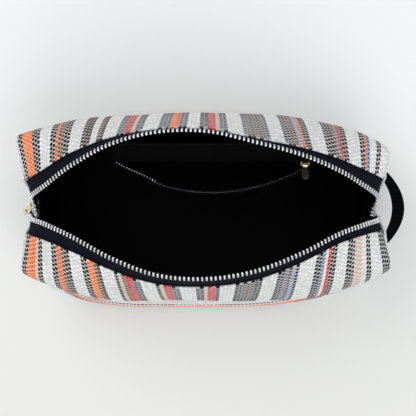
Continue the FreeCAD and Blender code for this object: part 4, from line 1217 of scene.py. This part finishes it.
handle_low, handle_high = node_box("side_handle")
ends_high = node_box("side_handle_ends")[1]
HANDLE_THICK = 2.2
HANDLE_HALF = (handle_high[2] - handle_low[2]) / 2
HANDLE_Z = (handle_high[2] + handle_low[2]) / 2
HANDLE_TOP_X = 111.6
HANDLE_BOW_Y = 24.5  # half of the span that stands away from the bag
SEWN_Y = {FRONT: ends_high[1] - 2.5, BACK: ends_high[1] - 0.6}
HANDLE_TOP_BOW_Y = 20.0
SEWN_TOP_X = 104.4
SEWN_FOOT_X = 107.6
SCALLOP = 2.0  # pitch of the webbing's weave along its edges


def make_handle(side_name):
    """Half of the webbing span, blended from its sewn end, with scalloped edges where the weft turns."""
    side = SIDES[side_name]
    y = np.linspace(0, SEWN_Y[side], 150)
    s = np.linspace(-1, 1, 15)
    top_x = mix(SEWN_TOP_X, HANDLE_TOP_X, np.maximum(0.0, 1 - (y / HANDLE_TOP_BOW_Y) ** 2))
    foot_x = mix(SEWN_FOOT_X, handle_high[0] + 1.7, np.maximum(0.0, 1 - (y / HANDLE_BOW_Y) ** 2))
    x = mix(foot_x[:, None], top_x[:, None], (s[None, :] + 1) / 2)
    scallop = 0.3 * np.cos(math.tau * y / SCALLOP)[:, None] * np.abs(s[None, :]) ** 6 * np.sign(s[None, :])
    z = HANDLE_Z + (HANDLE_HALF - 0.4) * s[None, :] + scallop
    grid = points(x, side * y[:, None], z)
    n = normals(grid, (1, 0, 0.1))
    swell = 0.25 * np.cos(math.tau * (y[:, None] / SCALLOP + 0.5 * s[None, :])) * (1 - s[None, :] ** 4)
    uv = np.stack(np.broadcast_arrays(s[None, :] * HANDLE_HALF, y[:, None]), axis=-1)
    outer = grid + n * (0.18 * swell)[..., None]
    strap = mesh_object(f"handle_strap_{side_name}", *closed_sheet(outer, grid - n * HANDLE_THICK, uv))
    finished(strap, "webbing", "side_handle", "side_handle_ends")
    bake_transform(strap)


# ---------------------------------------------------------------- metal that keeps its CAD shape


def finish_cad_nodes():
    names = ["main_pull", "pocket_pull"]
    for slider in ("main_slider", "pocket_slider"):
        names += [slider, f"{slider}_bridge"]
    for name in names:
        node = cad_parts[name]
        for material_slot in node.material_slots:
            material_slot.material = MATERIALS["gold"]
        if not node.material_slots:
            node.data.materials.append(MATERIALS["gold"])


# ---------------------------------------------------------------- studio

CAMERA_HEIGHT = 0.672  # metres above the floor, over the origin
FIELD_OF_VIEW = 22.93


def make_studio():
    floor_mesh = bpy.data.meshes.new("floor")
    bm = bmesh.new()
    bmesh.ops.create_grid(bm, x_segments=8, y_segments=8, size=6.0)
    bm.to_mesh(floor_mesh)
    bm.free()
    floor = bpy.data.objects.new("floor", floor_mesh)
    bpy.context.scene.collection.objects.link(floor)
    floor.location.z = -0.0002
    floor.data.materials.append(floor_material())
    world = bpy.data.worlds.new("studio")
    world.use_nodes = True
    tree = world.node_tree
    background = tree.nodes["Background"]
    place = tree.nodes.new("ShaderNodeTexCoord")
    split = tree.nodes.new("ShaderNodeSeparateXYZ")
    tree.links.new(place.outputs["Generated"], split.inputs[0])
    ramp = tree.nodes.new("ShaderNodeMapRange")
    tree.links.new(split.outputs[2], ramp.inputs[0])
    ramp.inputs[1].default_value = -0.1
    ramp.inputs[2].default_value = 0.9
    ramp.inputs[3].default_value = 0.55
    ramp.inputs[4].default_value = 0.85
    tree.links.new(ramp.outputs[0], background.inputs["Strength"])
    background.inputs["Color"].default_value = (0.985, 0.995, 1.0, 1.0)
    bpy.context.scene.world = world
    for name, place, size, power in (
        ("softbox_front", (0.3, -0.9, 1.2), 1.2, 8.0),
        ("softbox_left", (-0.8, 0.8, 1.3), 1.1, 7.0),
    ):
        light = bpy.data.lights.new(name, "AREA")
        light.energy = power
        light.size = size
        obj = bpy.data.objects.new(name, light)
        bpy.context.scene.collection.objects.link(obj)
        obj.location = place
        direction = -np.array(place)
        obj.rotation_mode = "QUATERNION"
        obj.rotation_quaternion = Vector(direction).to_track_quat("-Z", "Y")
    camera_data = bpy.data.cameras.new("camera")
    camera_data.angle = math.radians(FIELD_OF_VIEW)
    camera = bpy.data.objects.new("camera", camera_data)
    camera.location = (0, 0, CAMERA_HEIGHT)
    bpy.context.scene.collection.objects.link(camera)
    bpy.context.scene.camera = camera
    bpy.context.scene.view_settings.view_transform = "Standard"


def main():
    for side_name in SIDES:
        for end_name in ENDS:
            make_quarter(side_name, end_name)
            make_tape(side_name, end_name)
            make_teeth(side_name, end_name)
    for end_name in ENDS:
        make_foot(end_name)
    make_base()
    make_board()
    make_pocket()
    for side_name in SIDES:
        make_handle(side_name)
    finish_cad_nodes()
    make_studio()


main()
